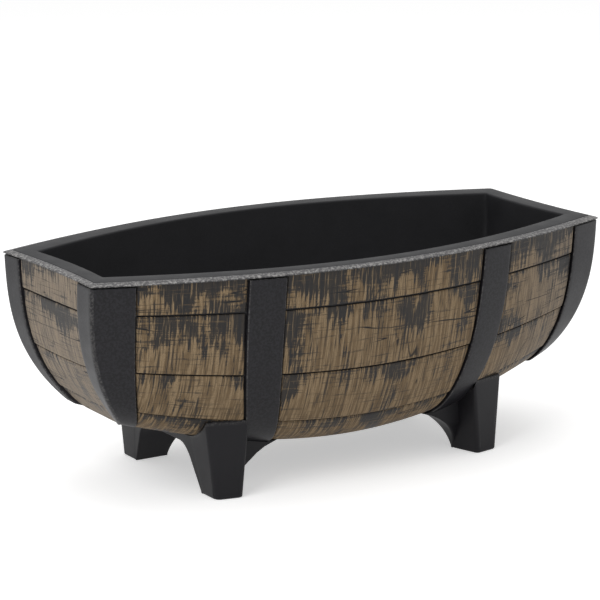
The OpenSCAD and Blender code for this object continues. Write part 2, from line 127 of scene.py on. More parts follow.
class HullShape(bpy.types.PropertyGroup):
    """The hull. t runs from 0 at the rim to 1 at the belly, s from -1 to 1 along the length, u from
    -1 to 1 across, and d is how far a surface lies outside the hull."""

    rim_len: length("Rim length", RIM_HIGH[0] - RIM_LOW[0], "Length over the rim")
    rim_w_end: length("Rim width at ends", 0.211, "Width over the rim at its corners")
    rim_w_mid: length("Rim width at middle", RIM_HIGH[1] - RIM_LOW[1], "Width over the rim at mid-length")
    height: length("Height", RIM_HIGH[2], "Height of the top of the rim")
    rim_thick: length("Rim thickness", RIM_HIGH[2] - RIM_LOW[2], "Thickness of the rim at its highest")
    rim_over: length("Rim overhang", 0.0035, "Overhang of the rim past the hull")
    seat_deep: length("Seat depth", 0.0015, "Depth of the seats that the bands lie in")
    belly_gap: length("Belly gap", STAVES_LOW[2] - 0.0015, "Height of the belly at mid-length")
    belly_rise: length("Belly rise", 0.043, "How much higher the belly is at its ends")
    end_tuck: length("End tuck", 0.057, "How far the foot of each end is drawn in")
    end_hollow: length("End hollow", 0.004, "Hollow of each end at the rim")
    end_bow: length("End bow", 0.014, "How far the middle of an end's foot is drawn in further")
    end_sag: length("End sag", 0.010, "How far the middle of each end hangs below its corners")
    seat_gap: length("Seat gap", 0.0003, "Gap between pieces that lie against each other")
    tuck_power: share("Tuck power", 2.9, "How late the ends draw in on the way down")
    section_power: share("Section power", 2.8, "Squareness of the cross-section, where 2 is an ellipse")
    flat_share: share("Flat share", 0.4, "Share of the width that the flat of the belly keeps")
    lean_end: share("Lean at ends", 0.115, "Lean of the walls at the ends, as a share of the width")
    lean_mid: share("Lean at middle", 0.165, "Lean of the walls at mid-length, as a share of the width")
    side_straight: share("Side straightness", 0.09, "How straight the long sides run near their ends")

    @property
    def top(self):
        """Height of the hull's upper edge, just under the rim."""
        return self.height - self.rim_thick - self.seat_gap

    @property
    def depth_mid(self):
        """Depth of the hull at mid-length."""
        return self.top - self.belly_gap

    def bulge(self, s):
        """1 at mid-length and 0 at the ends: 1 - (1 + k)s^2 + ks^4."""
        return 1 - (1 + self.side_straight) * s**2 + self.side_straight * s**4

    def section(self, t):
        """Share of the width left at t: a superellipse quarter that ends on the flat of the belly."""
        n = self.section_power
        return self.flat_share + (1 - self.flat_share) * np.clip(1 - t**n, 0, 1) ** (1 / n)

    def half_len(self, t, d=0.0):
        """Half the length at t: the rim's, less a tuck that grows as a power of t."""
        return self.rim_len / 2 - self.rim_over + d - self.end_tuck * t**self.tuck_power

    def half_wid(self, s, t, d=0.0):
        """Half the width: the end's and the middle's, each leaning in with t, mixed by the bulge."""
        at_end = (self.rim_w_end / 2 - self.rim_over + d) * (1 - self.lean_end * t)
        at_mid = (self.rim_w_mid / 2 - self.rim_over + d) * (1 - self.lean_mid * t)
        return mix(at_end, at_mid, self.bulge(s)) * self.section(t)

    def depth(self, s, d=0.0):
        """Depth at s: the middle's, less a rise that follows the bulge."""
        return self.depth_mid + d - self.belly_rise * (1 - self.bulge(s))

    def side_at(self, x, t, d):
        """A point of the front side."""
        s = x / self.half_len(t)
        return xyz(x, -self.half_wid(s, t, d), self.top - t * self.depth(s, d))

    def end_at(self, y, t, d):
        """A point of the left end, hollowed and sagging by 1 - u^2."""
        b = 1 - (y / self.half_wid(1, t)) ** 2
        x = (self.end_hollow / 2 + self.end_bow * t**3) * b - self.half_len(t, d)
        return xyz(x, y, self.top - t * (self.depth(1, d) + self.end_sag * b))

    def belly_len(self, u):
        """Half the length of the belly at a share u of its width."""
        return self.half_len(1) - (self.end_hollow / 2 + self.end_bow) * (1 - u**2)

    def belly_sag(self, u, s):
        """How far the belly hangs below its edges, towards the ends, as s^4."""
        return self.end_sag * (1 - u**2) * s**4

    def belly_at(self, x, u, d):
        """A point of the belly."""
        s = x / self.belly_len(u)
        return xyz(x, u * self.half_wid(s, 1, d), self.top - self.depth(s, d) - self.belly_sag(u, s))

    def underside(self, x, y, d):
        """Height of the hull's underside over a point of the floor. The wall's t comes from halving
        the range in which half_wid passes |y|, and is 1 over the flat of the belly."""
        low, high = np.full(np.shape(x), 0.3), np.ones(np.shape(x))
        for _ in range(HALVINGS):
            t = (low + high) / 2
            wide = self.half_wid(x / self.half_len(t), t, d) > np.abs(y)
            low, high = np.where(wide, t, low), np.where(wide, high, t)
        s = x / self.half_len(low)
        u = np.clip(y / self.half_wid(s, 1, d), -1, 1)
        return self.top - low * self.depth(s, d) - self.belly_sag(u, s) * smooth(0.97, 1, low)

    def girth(self):
        """Values of t, and how far down the wall at mid-length each of them lies."""
        t = np.sin(np.linspace(0, QUARTER, 4001)) ** (2 / self.section_power)
        steps = np.linalg.norm(np.diff(self.side_at(0.0, t, 0.0), axis=0), axis=1)
        return t, np.concatenate([[0.0], np.cumsum(steps)])

    def even_rows(self, step, first=0.0):
        """Values of t that lie a step apart down the wall, from first to the belly."""
        t, run = self.girth()
        start = np.interp(first, t, run)
        return np.interp(np.linspace(start, run[-1], round((run[-1] - start) / step) + 1), run, t)


class StaveShape(bpy.types.PropertyGroup):
    """The painted staves, which are moulded as one panel on each side and each end."""

    wall: length("Wall", 0.0022, "Thickness of the panels behind the grooves")
    groove_deep: length("Groove depth", 0.002, "Depth of the grooves between staves")
    groove_w: length("Groove width", 0.0026, "Width of the grooves")
    lip: length("Lip", 0.0011, "How far each stave's lower edge stands out")
    edge_drop: length("Edge drop", 0.0007, "How far a stave rounds down beside a groove")
    roll: length("Roll", 0.003, "Width of the rolled edge beside a band")
    end_gap: length("End gap", 0.001, "Gap between a stave's end and the band beside it")
    grain: length("Grain", 0.00022, "Height of the moulded grain")
    swell: length("Swell", 0.0003, "Height of the slow waves in the surface")
    mesh_step: length("Mesh step", 0.00165, "Distance between the rows and columns of the mesh")
    groove_1: share("First groove", 0.188, "Place of the first groove down the wall")
    groove_2: share("Second groove", 0.552, "Place of the second groove down the wall")
    groove_3: share("Third groove", 0.842, "Place of the third groove down the wall")

    def grooves(self):
        """Places of the grooves down the wall."""
        return np.array([self.groove_1, self.groove_2, self.groove_3])

    def rows(self, hull, multiple):
        """Values of t: even ones, and close ones through each groove. Their number is one more than
        a multiple."""
        half = self.groove_w / 2 / hull.depth_mid
        beside, clear = half * np.array([0.2, 0.45, 0.7, 0.95, 1.2, 1.7]), half * 2.1
        rows = hull.even_rows(self.mesh_step)
        for groove in self.grooves():
            rows = np.concatenate([rows[np.abs(rows - groove) > clear], groove - beside, groove + beside])
        rows = np.sort(rows)
        while (len(rows) - 1) % multiple:
            widest = np.argmax(np.diff(rows))
            rows = np.insert(rows, widest + 1, (rows[widest] + rows[widest + 1]) / 2)
        return rows

    def profile(self, hull, t):
        """Height of the staves' surface, which stave each row is on, how far down it the row lies,
        and how deep in a groove. A stave rises evenly to its lower lip and rounds off at the groove."""
        grooves = self.grooves()
        stave = np.searchsorted(grooves, t)
        edges = np.concatenate([[0.0], grooves, [1.0]])
        down = np.clip((t - edges[stave]) / (edges[stave + 1] - edges[stave]), 0, 1)
        rise = self.lip * down
        height = np.choose(stave, [self.lip + 0 * down, rise, rise, self.lip / 3 * smooth(0, 0.5, down)])
        near = np.min(np.abs(t[:, None] - grooves[None, :]), axis=1) * 2 * hull.depth_mid / self.groove_w
        height = height - self.edge_drop * (1 - smooth(0.9, 2.8, near)) ** 2
        groove = 1 - smooth(0.7, 1.15, near)
        height = mix(height, -self.groove_deep, groove)
        return mix(height, -hull.seat_deep, smooth(0.985, 1, t)), stave, down, groove


class BandShape(bpy.types.PropertyGroup):
    """The four corner bands and the two hoops."""

    proud: length("Proud", 0.003, "How far the bands stand out from the hull")
    side_w: length("Corner band side", 0.041, "Width of a corner band on the long side, at the rim")
    end_w: length("Corner band end", 0.032, "Width of a corner band on the end, at the rim")
    hoop_w: length("Hoop width", 0.040, "Width of a hoop at the rim")
    hoop_x: length("Hoop place", 0.146, "Distance from mid-length to the middle of a hoop, at the rim")
    top_gap: length("Top gap", 0.0016, "Gap between a band's top end and the rim")
    edge_r: length("Edge radius", 0.0013, "Radius of the bands' edges")
    corner_r: length("Corner radius", 0.0035, "Size of the rounding along a corner band's corner")
    mesh_step: length("Mesh step", 0.0025, "Distance between the rows of the mesh")
    taper: share("Corner taper", 0.72, "Share by which a corner band narrows towards its foot")
    taper_power: share("Taper power", 2.7, "How late a corner band narrows on the way down")
    sink: share("Sink", 0.95, "Place down the wall from which a corner band sinks to its foot")

    def corner_x(self, hull, t):
        """Distance from mid-length to a corner band's edge on the long side."""
        return hull.half_len(t) - self.side_w * (1 - self.taper * t**self.taper_power)

    def corner_y(self, hull, t):
        """Distance from the centre line to a corner band's edge on the end."""
        return hull.half_wid(1, t) - self.end_w * (1 - self.taper * t**self.taper_power)

    def hoop_edges(self, hull, t):
        """Distances from mid-length to a hoop's two edges. Both draw in as the hull shortens."""
        scale = hull.half_len(t) / hull.half_len(0)
        return (self.hoop_x - self.hoop_w / 2) * scale, (self.hoop_x + self.hoop_w / 2) * scale

    def rows(self, hull):
        """Values of t down a band, and how far each has dropped on the round of its top end."""
        t = hull.even_rows(self.mesh_step, self.top_gap / hull.depth_mid)
        inset, drop = self.edge_round()
        lead = inset / hull.depth_mid
        inner = t[t > t[0] + lead[-1] * 1.3]
        return np.concatenate([t[0] + lead, inner]), np.concatenate([drop, 0 * inner])

    def edge_round(self):
        """How far in and how low the points lie on a quarter round along a band's edge."""
        turn = np.linspace(0, QUARTER, 5)
        return self.edge_r * (1 - np.cos(turn)), self.edge_r * (1 - np.sin(turn))


class RimShape(bpy.types.PropertyGroup):
    """The rim frame, and the liner that hangs in it."""

    edge_h: length("Edge height", 0.0012, "Height of the rim's upright outer edge")
    strip_w: length("Strip width", 0.008, "Width of the rim's sloping outer strip")
    whole_w: length("Rim width", 0.029, "Width of the whole rim, from its outer edge to the mouth")
    ledge_w: length("Ledge width", 0.012, "Width of the ledge that carries the liner")
    ledge_t: length("Ledge thickness", 0.0014, "Thickness of the ledge")
    corner_r: length("Corner radius", 0.003, "Size of the rounding at the rim's corners")
    seam_gap: length("Seam gap", 0.0007, "Gap of the seam between rim and liner")
    liner_wall: length("Liner wall", 0.0024, "Thickness of the liner")
    liner_floor: length("Liner floor", 0.080, "Height of the liner's floor above the ground")
    liner_r: length("Liner corners", 0.006, "Size of the rounding at the liner's corners")
    liner_step: length("Liner mesh step", 0.0033, "Distance between the rows of the liner's mesh")
    floor_round: length("Floor rounding", 0.007, "Size of the rounding between the liner's wall and floor")
    mouth_r: length("Mouth rounding", 0.0025, "Size of the rounding at the liner's mouth")
    drain_x: length("Drain place", 0.068, "Distance from mid-length to a drain")
    drain_d: length("Drain diameter", 0.018, "Diameter of a drain hole")
    boss_wall: length("Boss wall", 0.004, "Wall of the boss round a drain hole")
    boss_len: length("Boss length", 0.010, "Length of the boss below the liner's floor")


class LegShape(bpy.types.PropertyGroup):
    """A leg arch: a front and a back leg joined by an arched web under the belly."""

    foot_x: length("Foot place", 0.183, "Distance from mid-length to a foot's outer side")
    foot_y: length("Foot front", 0.110, "Distance from the centre line to a foot's front")
    foot_w: length("Foot width", 0.030, "Width of a foot along the front")
    foot_depth: length("Foot depth", 0.036, "Depth of a foot on its outer side")
    top: length("Leg top", 0.088, "Height of the top of a leg's front face")
    lean: length("Leg lean", 0.009, "How much further out a leg stands at its top")
    widen: length("Leg widening", 0.007, "How much further inboard a leg reaches at its top")
    skew: length("Leg skew", 0.006, "How much further forward a leg's inner corner stands than its outer one")
    proud: length("Leg proud", 0.0026, "How far a leg's front stands out from the staves")
    sole_r: length("Sole radius", 0.0018, "Radius of the edges round a leg's sole and top")
    hidden: length("Overlap", 0.003, "How far a leg and the web run into each other")
    web_back: length("Web set-back", 0.022, "Distance of the web behind a foot's front")
    web_in: length("Web inboard", 0.010, "How far the web reaches inboard of a foot")
    flare_len: length("Flare length", 0.070, "Length of the curve from the web to the belly")
    flare_top: length("Flare height", 0.052, "Height of the curve from the web to the belly")
    reach: length("Web's end", 0.074, "Distance from mid-length to the web's inboard end")
    least: length("Least thickness", 0.0012, "Thickness at which the web ends under a hoop")
    edge_r: length("Edge radius", 0.0018, "Radius of the web's edges")
    arch_flat: length("Arch flat", 0.036, "Half the width of the arch's level top")
    arch_bend: length("Arch bend", 0.022, "Distance across the bend from the arch's level top to a flank")
    arch_straight: length("Arch flank", 0.033, "Height up to which the arch's flanks are straight")
    arch_t: length("Arch thickness", 0.004, "Thickness of the arch at its inner screws")
    shoulder: length("Web shoulder", 0.078, "Height up to which the web's outer flank is upright")
    screw_x_in: length("Inner screws", 0.149, "Distance from mid-length to the inner screws")


class FinishColours(bpy.types.PropertyGroup):
    """The colours of the finishes."""

    bare: finish("Bare resin", (19, 20, 24), "Dark resin of the staves where the paint is thin")
    bare_brown: finish("Stained resin", (37, 33, 29), "Resin with a thin stain of paint")
    crack: finish("Cracks", (13, 13, 16), "Cracks, pits and grooves of the staves")
    paint: finish("Paint", (109, 90, 65), "Dry-brushed paint on the staves")
    paint_pale: finish("Pale paint", (149, 128, 99), "Paint where the brush left most")
    # Painted sheen: a grey that stands in for the white surround's reflection on the end panels and the side
    # panels' far ends
    washed: finish("Painted sheen", (138, 131, 123), "Grey paint of the end panels as a painted sheen")
    black: finish("Black", (31, 30, 34), "Satin black of the bands, rim and legs")
    # Paler grey of the edges: partly wear, partly a painted highlight on rounded edges
    wear_and_highlight_grey: finish("Worn and highlit black", (146, 144, 142), "Black plastic paler on its edges, from wear and a painted highlight")
    liner: finish("Liner", (34, 34, 36), "Black of the liner")
    zinc: finish("Zinc", (170, 172, 176), "Plated steel of the screws")
    rubber: finish("Rubber", (30, 30, 31), "Rubber of the drain plugs")
    floor: finish("Floor", (244, 244, 244), "Floor and backdrop")


def sizes(*groups):
    """The named groups of sizes."""
    return [getattr(bpy.context.scene, "planter_" + group) for group in groups]


class Shell:
    """Gathers grids of points and the faces between them into one mesh. Rows run down and columns run
    to the right as seen from outside. Marks are named numbers kept with every point."""

    def __init__(self, *marks):
        self.marks = marks
        self.points = []
        self.values = []
        self.quads = []
        self.count = 0

    def add(self, points, **marks):
        """Adds an array of points with their marks, and returns their numbers in the same shape."""
        shape = points.shape[:-1]
        total = math.prod(shape)
        self.points.append(points.reshape(-1, 3))
        values = [np.broadcast_to(marks.get(name, 0.0), shape).reshape(-1) for name in self.marks]
        self.values.append(np.array(values, dtype=float).reshape(len(self.marks), total))
        self.count += total
        return (self.count - total + np.arange(total)).reshape(shape)

    def join(self, a, b, c, d):
        """One face for each set of four numbers. Where two are equal, it is a triangle."""
        self.quads.append(np.stack([np.ravel(v) for v in (a, b, c, d)], axis=-1))

    def surface(self, grid):
        """Faces between the rows and columns of a grid."""
        self.join(grid[:-1, :-1], grid[1:, :-1], grid[1:, 1:], grid[:-1, 1:])

    def around(self, grid):
        """Faces between the rows of a grid, whose last column is joined to the first."""
        self.surface(np.concatenate([grid, grid[:, :1]], axis=1))

    def stitch(self, fine, coarse, step):
        """Faces between a fine edge and a coarse one that has every step-th place of it."""
        k = np.arange(len(fine) - 1)
        middle = coarse[(k + step // 2) // step]
        self.join(fine[:-1], middle, middle, fine[1:])
        j = np.arange(len(coarse) - 1)
        self.join(coarse[:-1], coarse[1:], coarse[1:], fine[j * step + (step - step // 2)])

    def sheet(self, outer, inner, step=1, **marks):
        """A closed sheet between an outer grid and an inner one with every step-th row and column."""
        o = self.add(outer, **marks)
        thinned = {name: np.broadcast_to(v, outer.shape[:2])[::step, ::step] for name, v in marks.items()}
        i = self.add(inner, **thinned)
        self.surface(o)
        self.surface(i[:, ::-1])
        self.stitch(o[0, ::-1], i[0, ::-1], step)
        self.stitch(o[-1], i[-1], step)
        self.stitch(o[:, 0], i[:, 0], step)
        self.stitch(o[::-1, -1], i[::-1, -1], step)

    def tube(self, loops, **marks):
        """A closed tube through loops of points, each mirrored about its first and middle points, with
        a ladder of faces across each end."""
        g = self.add(loops, **marks)
        self.around(g)
        for loop in (g[0][::-1], g[-1]):
            n, k = len(loop), np.arange(len(loop) // 2)
            self.join(loop[k], loop[k + 1], loop[(n - k - 1) % n], loop[(n - k) % n])

    def mesh(self, name, flip=False):
        """The mesh of everything added. Flip turns the faces round, for a mirrored piece."""
        points, quads = np.concatenate(self.points), np.concatenate(self.quads)
        if flip:
            quads = quads[:, ::-1]
        keep = quads != np.roll(quads, -1, axis=1)
        totals = keep.sum(axis=1)
        quads, keep, totals = quads[totals > 2], keep[totals > 2], totals[totals > 2]
        corners = quads[keep]
        mesh = bpy.data.meshes.new(name)
        mesh.vertices.add(len(points))
        mesh.vertices.foreach_set("co", points.astype(np.float32).ravel())
        mesh.loops.add(len(corners))
        mesh.loops.foreach_set("vertex_index", corners.astype(np.int32))
        mesh.polygons.add(len(totals))
        mesh.polygons.foreach_set("loop_start", (np.cumsum(totals) - totals).astype(np.int32))
        mesh.update(calc_edges=True)
        if mesh.validate():
            raise RuntimeError(f"{name}: the mesh had bad faces")
        for k, mark in enumerate(self.marks):
            values = np.concatenate([value[k] for value in self.values])
            mesh.attributes.new(mark, "FLOAT", "POINT").data.foreach_set("value", values.astype(np.float32))
        if self.marks[:2] == ("across", "along"):
            uv = np.concatenate(self.values, axis=1)[:2].T[corners]
            mesh.uv_layers.new(name="Surface").data.foreach_set("uv", uv.astype(np.float32).ravel())
        mesh.shade_smooth()
        mesh.set_sharp_from_angle(angle=math.radians(SHARP))
        return mesh


def place(mesh, material, slot, *nodes, body="planter"):
    """Puts a finished mesh into the scene as the piece that stands for CAD nodes."""
    piece = bpy.data.objects.new(mesh.name, mesh)
    bpy.context.collection.objects.link(piece)
    mesh.materials.append(material)
    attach(piece, body)
    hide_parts(*nodes)
    return piece


def mirrored(points, x=1, y=1):
    """The points mirrored across the middle, along x, y or both."""
    return points * np.array([x, y, 1])


# Materials


def wire(tree, kind, sockets=(), **settings):
    """Adds a shader node, with its settings, and sets or links its inputs by name or number."""
    node = tree.nodes.new(kind)
    for key, value in settings.items():
        setattr(node, key, value)
    for key, value in dict(sockets).items():
        if isinstance(value, bpy.types.NodeSocket):
            tree.links.new(value, node.inputs[key])
        else:
            node.inputs[key].default_value = value
    return node


def maths(tree, operation, a, b=0.0, c=0.0, clamp=False):
    """The result of a Math node on values or sockets."""
    return wire(tree, "ShaderNodeMath", {0: a, 1: b, 2: c}, operation=operation, use_clamp=clamp).outputs[0]


def ramp(tree, value, low, high, out_low=0.0, out_high=1.0):
    """A smooth step of a socket from out_low at low to out_high at high."""
    sockets = {"Value": value, "From Min": low, "From Max": high, "To Min": out_low, "To Max": out_high}
    return wire(tree, "ShaderNodeMapRange", sockets, interpolation_type="SMOOTHSTEP").outputs[0]


def blend(tree, factor, a, b):
    """A mix of two colours."""
    return wire(tree, "ShaderNodeMix", {0: factor, 6: a, 7: b}, data_type="RGBA").outputs[2]


def cloud(tree, coords, features, detail, rough, seed):
    """Noise from 0 to 1 with the given number of features a metre along each axis."""
    moved = (seed, seed * 1.7, seed * 0.6)
    mapped = wire(tree, "ShaderNodeMapping", {"Vector": coords, "Scale": features, "Location": moved})
    sockets = {"Vector": mapped.outputs[0], "Scale": 1.0, "Detail": detail, "Roughness": rough}
    return wire(tree, "ShaderNodeTexNoise", sockets).outputs[0]


def mark_of(tree, name):
    """A mark that the mesh keeps with its points."""
    return wire(tree, "ShaderNodeAttribute", attribute_name=name).outputs["Fac"]


def new_material(name):
    """A material, its tree, and its Principled shader."""
    material = bpy.data.materials.new(name)
    material.use_nodes = True
    return material, material.node_tree, material.node_tree.nodes["Principled BSDF"]


def rgba(colour, shade=1.0):
    """A colour property, made darker or paler by a factor, with full opacity."""
    return (*(shade * value for value in colour), 1.0)


def roughen(tree, shader, height, strength, distance):
    """A bump of the shader's surface by a height."""
    bump = wire(tree, "ShaderNodeBump", {"Height": height, "Strength": strength, "Distance": distance})
    tree.links.new(bump.outputs[0], shader.inputs["Normal"])


def painted_staves():
    """Dark resin with dry-brushed paint. Patches of paint have edges that strokes across the grain
    pull out into streaks. Fine dark lines cross the paint and fine lines of paint cross the resin,
    and there is more paint towards each stave's lower lip. Cracks, pits and the ends beside the
    bands stay dark."""
    colours = bpy.context.scene.planter_colours
    material, tree, shader = new_material("painted_staves")
    uv = wire(tree, "ShaderNodeUVMap", uv_map="Surface").outputs[0]
    down, tone, shut, washed = (mark_of(tree, name) for name in ("down", "tone", "shut", "washed"))

    def noise(across, along, detail, rough, seed, coords=uv):
        """Noise with features a metre across the staves' grain and along it."""
        return cloud(tree, coords, (across, along, 1), detail, rough, seed)

    def plus(value, weight, rest):
        """A value times its weight, added to the rest."""
        return maths(tree, "MULTIPLY_ADD", value, weight, rest)

    def times(a, b):
        """The product of two values."""
        return maths(tree, "MULTIPLY", a, b)

    def larger(a, b, clamp=False):
        """The larger of two values."""
        return maths(tree, "MAXIMUM", a, b, clamp=clamp)

    def line(value, core, edge, dark):
        """A thin line along which a noise passes its middle value."""
        away = maths(tree, "ABSOLUTE", maths(tree, "SUBTRACT", value, 0.5))
        return ramp(tree, away, core, edge, dark, 0.0)

    strokes, hairs = noise(340, 17, 3, 0.6, 11.3), noise(640, 30, 2, 0.55, 5.9)
    grain, specks = noise(26, 440, 3, 0.6, 17.2), noise(1000, 1000, 2, 0.6, 29.5)
    pull = {"X": plus(grain, 0.008, -0.004), "Y": plus(strokes, 0.07, -0.035)}
    pull = wire(tree, "ShaderNodeCombineXYZ", pull).outputs[0]
    ragged = wire(tree, "ShaderNodeVectorMath", {0: uv, 1: pull}, operation="ADD").outputs[0]

    # Where there is paint
    cover = plus(noise(24, 20, 4, 0.6, 3.1, ragged), 2.3, tone)
    for value, weight in ((strokes, 0.5), (hairs, 0.4), (grain, 0.35), (ramp(tree, down, 0.0, 0.7), 0.30)):
        cover = plus(value, weight, cover)
    dark_lines = larger(ramp(tree, hairs, 0.36, 0.44, 0.85, 0.0), ramp(tree, grain, 0.36, 0.42, 0.75, 0.0))
    dark_lines = times(dark_lines, ramp(tree, cover, 1.9, 2.35, 1.0, 0.45))
    pale_lines = larger(ramp(tree, hairs, 0.57, 0.66, 0.03, 0.6), ramp(tree, grain, 0.6, 0.68, 0.0, 0.45))
    painted = times(ramp(tree, cover, 1.76, 1.93), maths(tree, "SUBTRACT", 1.0, dark_lines))
    painted = larger(painted, pale_lines, clamp=True)

    # Cracks along the staves, splits across them, pits and the shut ends
    crack = times(line(noise(2.5, 60, 1, 0.4, 31.0), 0.0022, 0.0064, 1.0),
                  ramp(tree, noise(16, 40, 1, 0.5, 41.0), 0.5, 0.56))
    split = times(line(noise(55, 6, 1, 0.4, 37.0), 0.0015, 0.007, 0.9),
                  ramp(tree, noise(22, 30, 1, 0.5, 43.0), 0.56, 0.6))
    pits = ramp(tree, specks, 0.64, 0.70, 0.0, 0.75)
    gaps = larger(larger(larger(crack, split), pits), ramp(tree, shut, 0.1, 0.6), clamp=True)

    pale = ramp(tree, plus(strokes, 0.6, times(hairs, 0.5)), 0.50, 0.64)
    pale = times(pale, ramp(tree, specks, 0.3, 0.6, 0.5, 1.0))
    paint = blend(tree, pale, rgba(colours.paint), rgba(colours.paint_pale))
    # Painted sheen: the paint is greyed on the end panels and the side panels' far ends, standing in for the
    # white surround's reflection at a slant
    paint = blend(tree, washed, paint, rgba(colours.washed))
    bare = blend(tree, ramp(tree, strokes, 0.35, 0.65), rgba(colours.bare), rgba(colours.bare_brown))
    colour = blend(tree, gaps, blend(tree, painted, bare, paint), rgba(colours.crack))
    tree.links.new(colour, shader.inputs["Base Color"])
    tree.links.new(ramp(tree, painted, 0.0, 1.0, 0.5, 0.68), shader.inputs["Roughness"])
    shader.inputs["Specular IOR Level"].default_value = 0.3
    height = plus(gaps, -0.9, plus(painted, 0.25, plus(grain, 0.7, times(strokes, 0.35))))
    roughen(tree, shader, height, 0.6, 0.0006)
    return material


def satin_black(name, colour, roughness, specular=0.28, wear_and_highlight_amount=0.35, shade=1.0, mottle=1.0):
    """Moulded black plastic: a faint cloudiness, a fine sprayed texture with mottles of another shade,
    and edges made paler where the piece has an edge mark, partly as wear and partly as a painted
    highlight on the rounded edges."""
    material, tree, shader = new_material(name)
    spot = wire(tree, "ShaderNodeTexCoord").outputs["Object"]

    def noise(features, detail, rough, seed):
        """Noise with the same number of features a metre every way."""
        return cloud(tree, spot, (features, features, features), detail, rough, seed)

    clouds, specks = noise(30, 4, 0.6, 2.0), noise(900, 3, 0.6, 9.0)
    scuffs, spray = noise(330, 4, 0.7, 4.0), noise(380, 3, 0.65, 7.0)
    # Paler edges: partly wear, partly a painted highlight where rounded edges catch the light
    wear_and_highlight = ramp(tree, scuffs, 0.44, 0.62, 0.12 * wear_and_highlight_amount, wear_and_highlight_amount)
    wear_and_highlight = maths(tree, "MULTIPLY", mark_of(tree, "edge"), wear_and_highlight, clamp=True)
    base = blend(tree, ramp(tree, clouds, 0.35, 0.65), rgba(colour, 0.86 * shade), rgba(colour, 1.14 * shade))
    base = blend(tree, ramp(tree, spray, 0.40, 0.60), base, rgba(colour, mottle * shade))
    base = blend(tree, wear_and_highlight, base, rgba(bpy.context.scene.planter_colours.wear_and_highlight_grey))
    tree.links.new(base, shader.inputs["Base Color"])
    sheen = ramp(tree, clouds, 0.3, 0.7, roughness - 0.04, roughness + 0.04)
    tree.links.new(sheen, shader.inputs["Roughness"])
    shader.inputs["Specular IOR Level"].default_value = specular
    roughen(tree, shader, specks, 0.5, 0.00014)
    return material


def plated_steel():
    """Bright zinc with a faint crystalline cloud."""
    material, tree, shader = new_material("zinc_plate")
    spot = wire(tree, "ShaderNodeTexCoord").outputs["Object"]
    clouds = cloud(tree, spot, (700, 700, 700), 3, 0.5, 6.0)
    zinc = bpy.context.scene.planter_colours.zinc
    tree.links.new(blend(tree, clouds, rgba(zinc, 0.75), rgba(zinc)), shader.inputs["Base Color"])
    tree.links.new(ramp(tree, clouds, 0.3, 0.7, 0.28, 0.42), shader.inputs["Roughness"])
    shader.inputs["Metallic"].default_value = 1.0
    return material


# Pieces


def stave_sheet(t, point, across, beside, offset, tones, washed):
    """A stave panel from rows at t and columns across it. The surface stands off the hull by the
    staves' profile and the grain, and sinks to the bands' seats in a quarter round, where beside
    gives the distance from a band. The grain is noise at two scales, many times finer down the wall
    than along it, and each stave and each offset has its own part of it."""
    hull, staves = sizes("hull", "staves")
    height, stave, down, groove = (v[:, None] for v in staves.profile(hull, t))
    table, run = hull.girth()
    u, v = across + offset, np.broadcast_to(np.interp(t, table, run)[:, None], across.shape)
    standing = np.sqrt(1 - (1 - np.clip(beside / staves.roll, 0, 1)) ** 2)
    fine = lattice_noise(u * 14, v * 210 + 40 * stave, 3) + 0.5 * lattice_noise(u * 45, v * 420, 5) - 0.75
    slow = lattice_noise(u * 9, v * 18 + 7 * stave, 8) - 0.5
    relief = (staves.grain * fine + staves.swell * slow) * (1 - groove)
    outer = point(across, t[:, None], mix(-hull.seat_deep, height + relief, standing))
    inner = point(across, t[:, None], -staves.groove_deep - staves.wall)
    # The last mark holds how far the paint is greyed as a painted sheen
    shell = Shell("across", "along", "down", "tone", "shut", "washed")
    shut = np.clip(np.maximum(groove, 1 - standing), 0, 1)
    shell.sheet(outer, inner[::COARSE, ::COARSE], COARSE, across=u, along=v, down=down, tone=tones[stave],
                shut=shut, washed=washed)
    return shell


def side_staves(name, material, node, y, offset, tones):
    """A long side's stave panel. Columns are even shares of the length at each row. The paint is made
    greyer towards one end, the right one as seen from outside, as a painted sheen for the white
    surround's reflection at a slant."""
    hull, staves, bands = sizes("hull", "staves", "bands")
    t = staves.rows(hull, COARSE)
    columns = COARSE * round(2 * hull.half_len(0) / staves.mesh_step / COARSE)
    x = np.linspace(-1, 1, columns + 1)[None, :] * hull.half_len(t, -hull.seat_deep)[:, None]
    low, high = bands.hoop_edges(hull, t[:, None])
    beside_hoop = np.maximum(low - np.abs(x), np.abs(x) - high)
    beside = np.minimum(beside_hoop, bands.corner_x(hull, t)[:, None] - np.abs(x)) - staves.end_gap

    def point(x, t, d):
        """A point of the front side, or of the back."""
        return mirrored(hull.side_at(x, t, d), y=y)

    shell = stave_sheet(t, point, x, beside, offset, tones, PAINTED_SHEEN_SIDE * smooth(0.1, 0.3, x * y))
    place(shell.mesh(name, flip=y < 0), material, "painted_stave", node)


def end_staves(name, material, node, x, offset, tones):
    """An end's stave panel, its paint made greyer all over as a painted sheen for the white surround's
    reflection at a slant.
    """
    hull, staves, bands = sizes("hull", "staves", "bands")
    t = staves.rows(hull, COARSE)
    half = hull.half_wid(1, t, -staves.groove_deep - staves.wall)[:, None] - hull.seat_gap
    columns = COARSE * round(2 * np.max(half) / staves.mesh_step / COARSE)
    y = np.linspace(1, -1, columns + 1)[None, :] * half
    beside = bands.corner_y(hull, t)[:, None] - staves.end_gap - np.abs(y)

    def point(y, t, d):
        """A point of the left end, or of the right one."""
        return mirrored(hull.end_at(y, t, d), x=x)

    shell = stave_sheet(t, point, y, beside, offset, tones, PAINTED_SHEEN_ENDS)
    place(shell.mesh(name, flip=x < 0), material, "painted_stave", node)


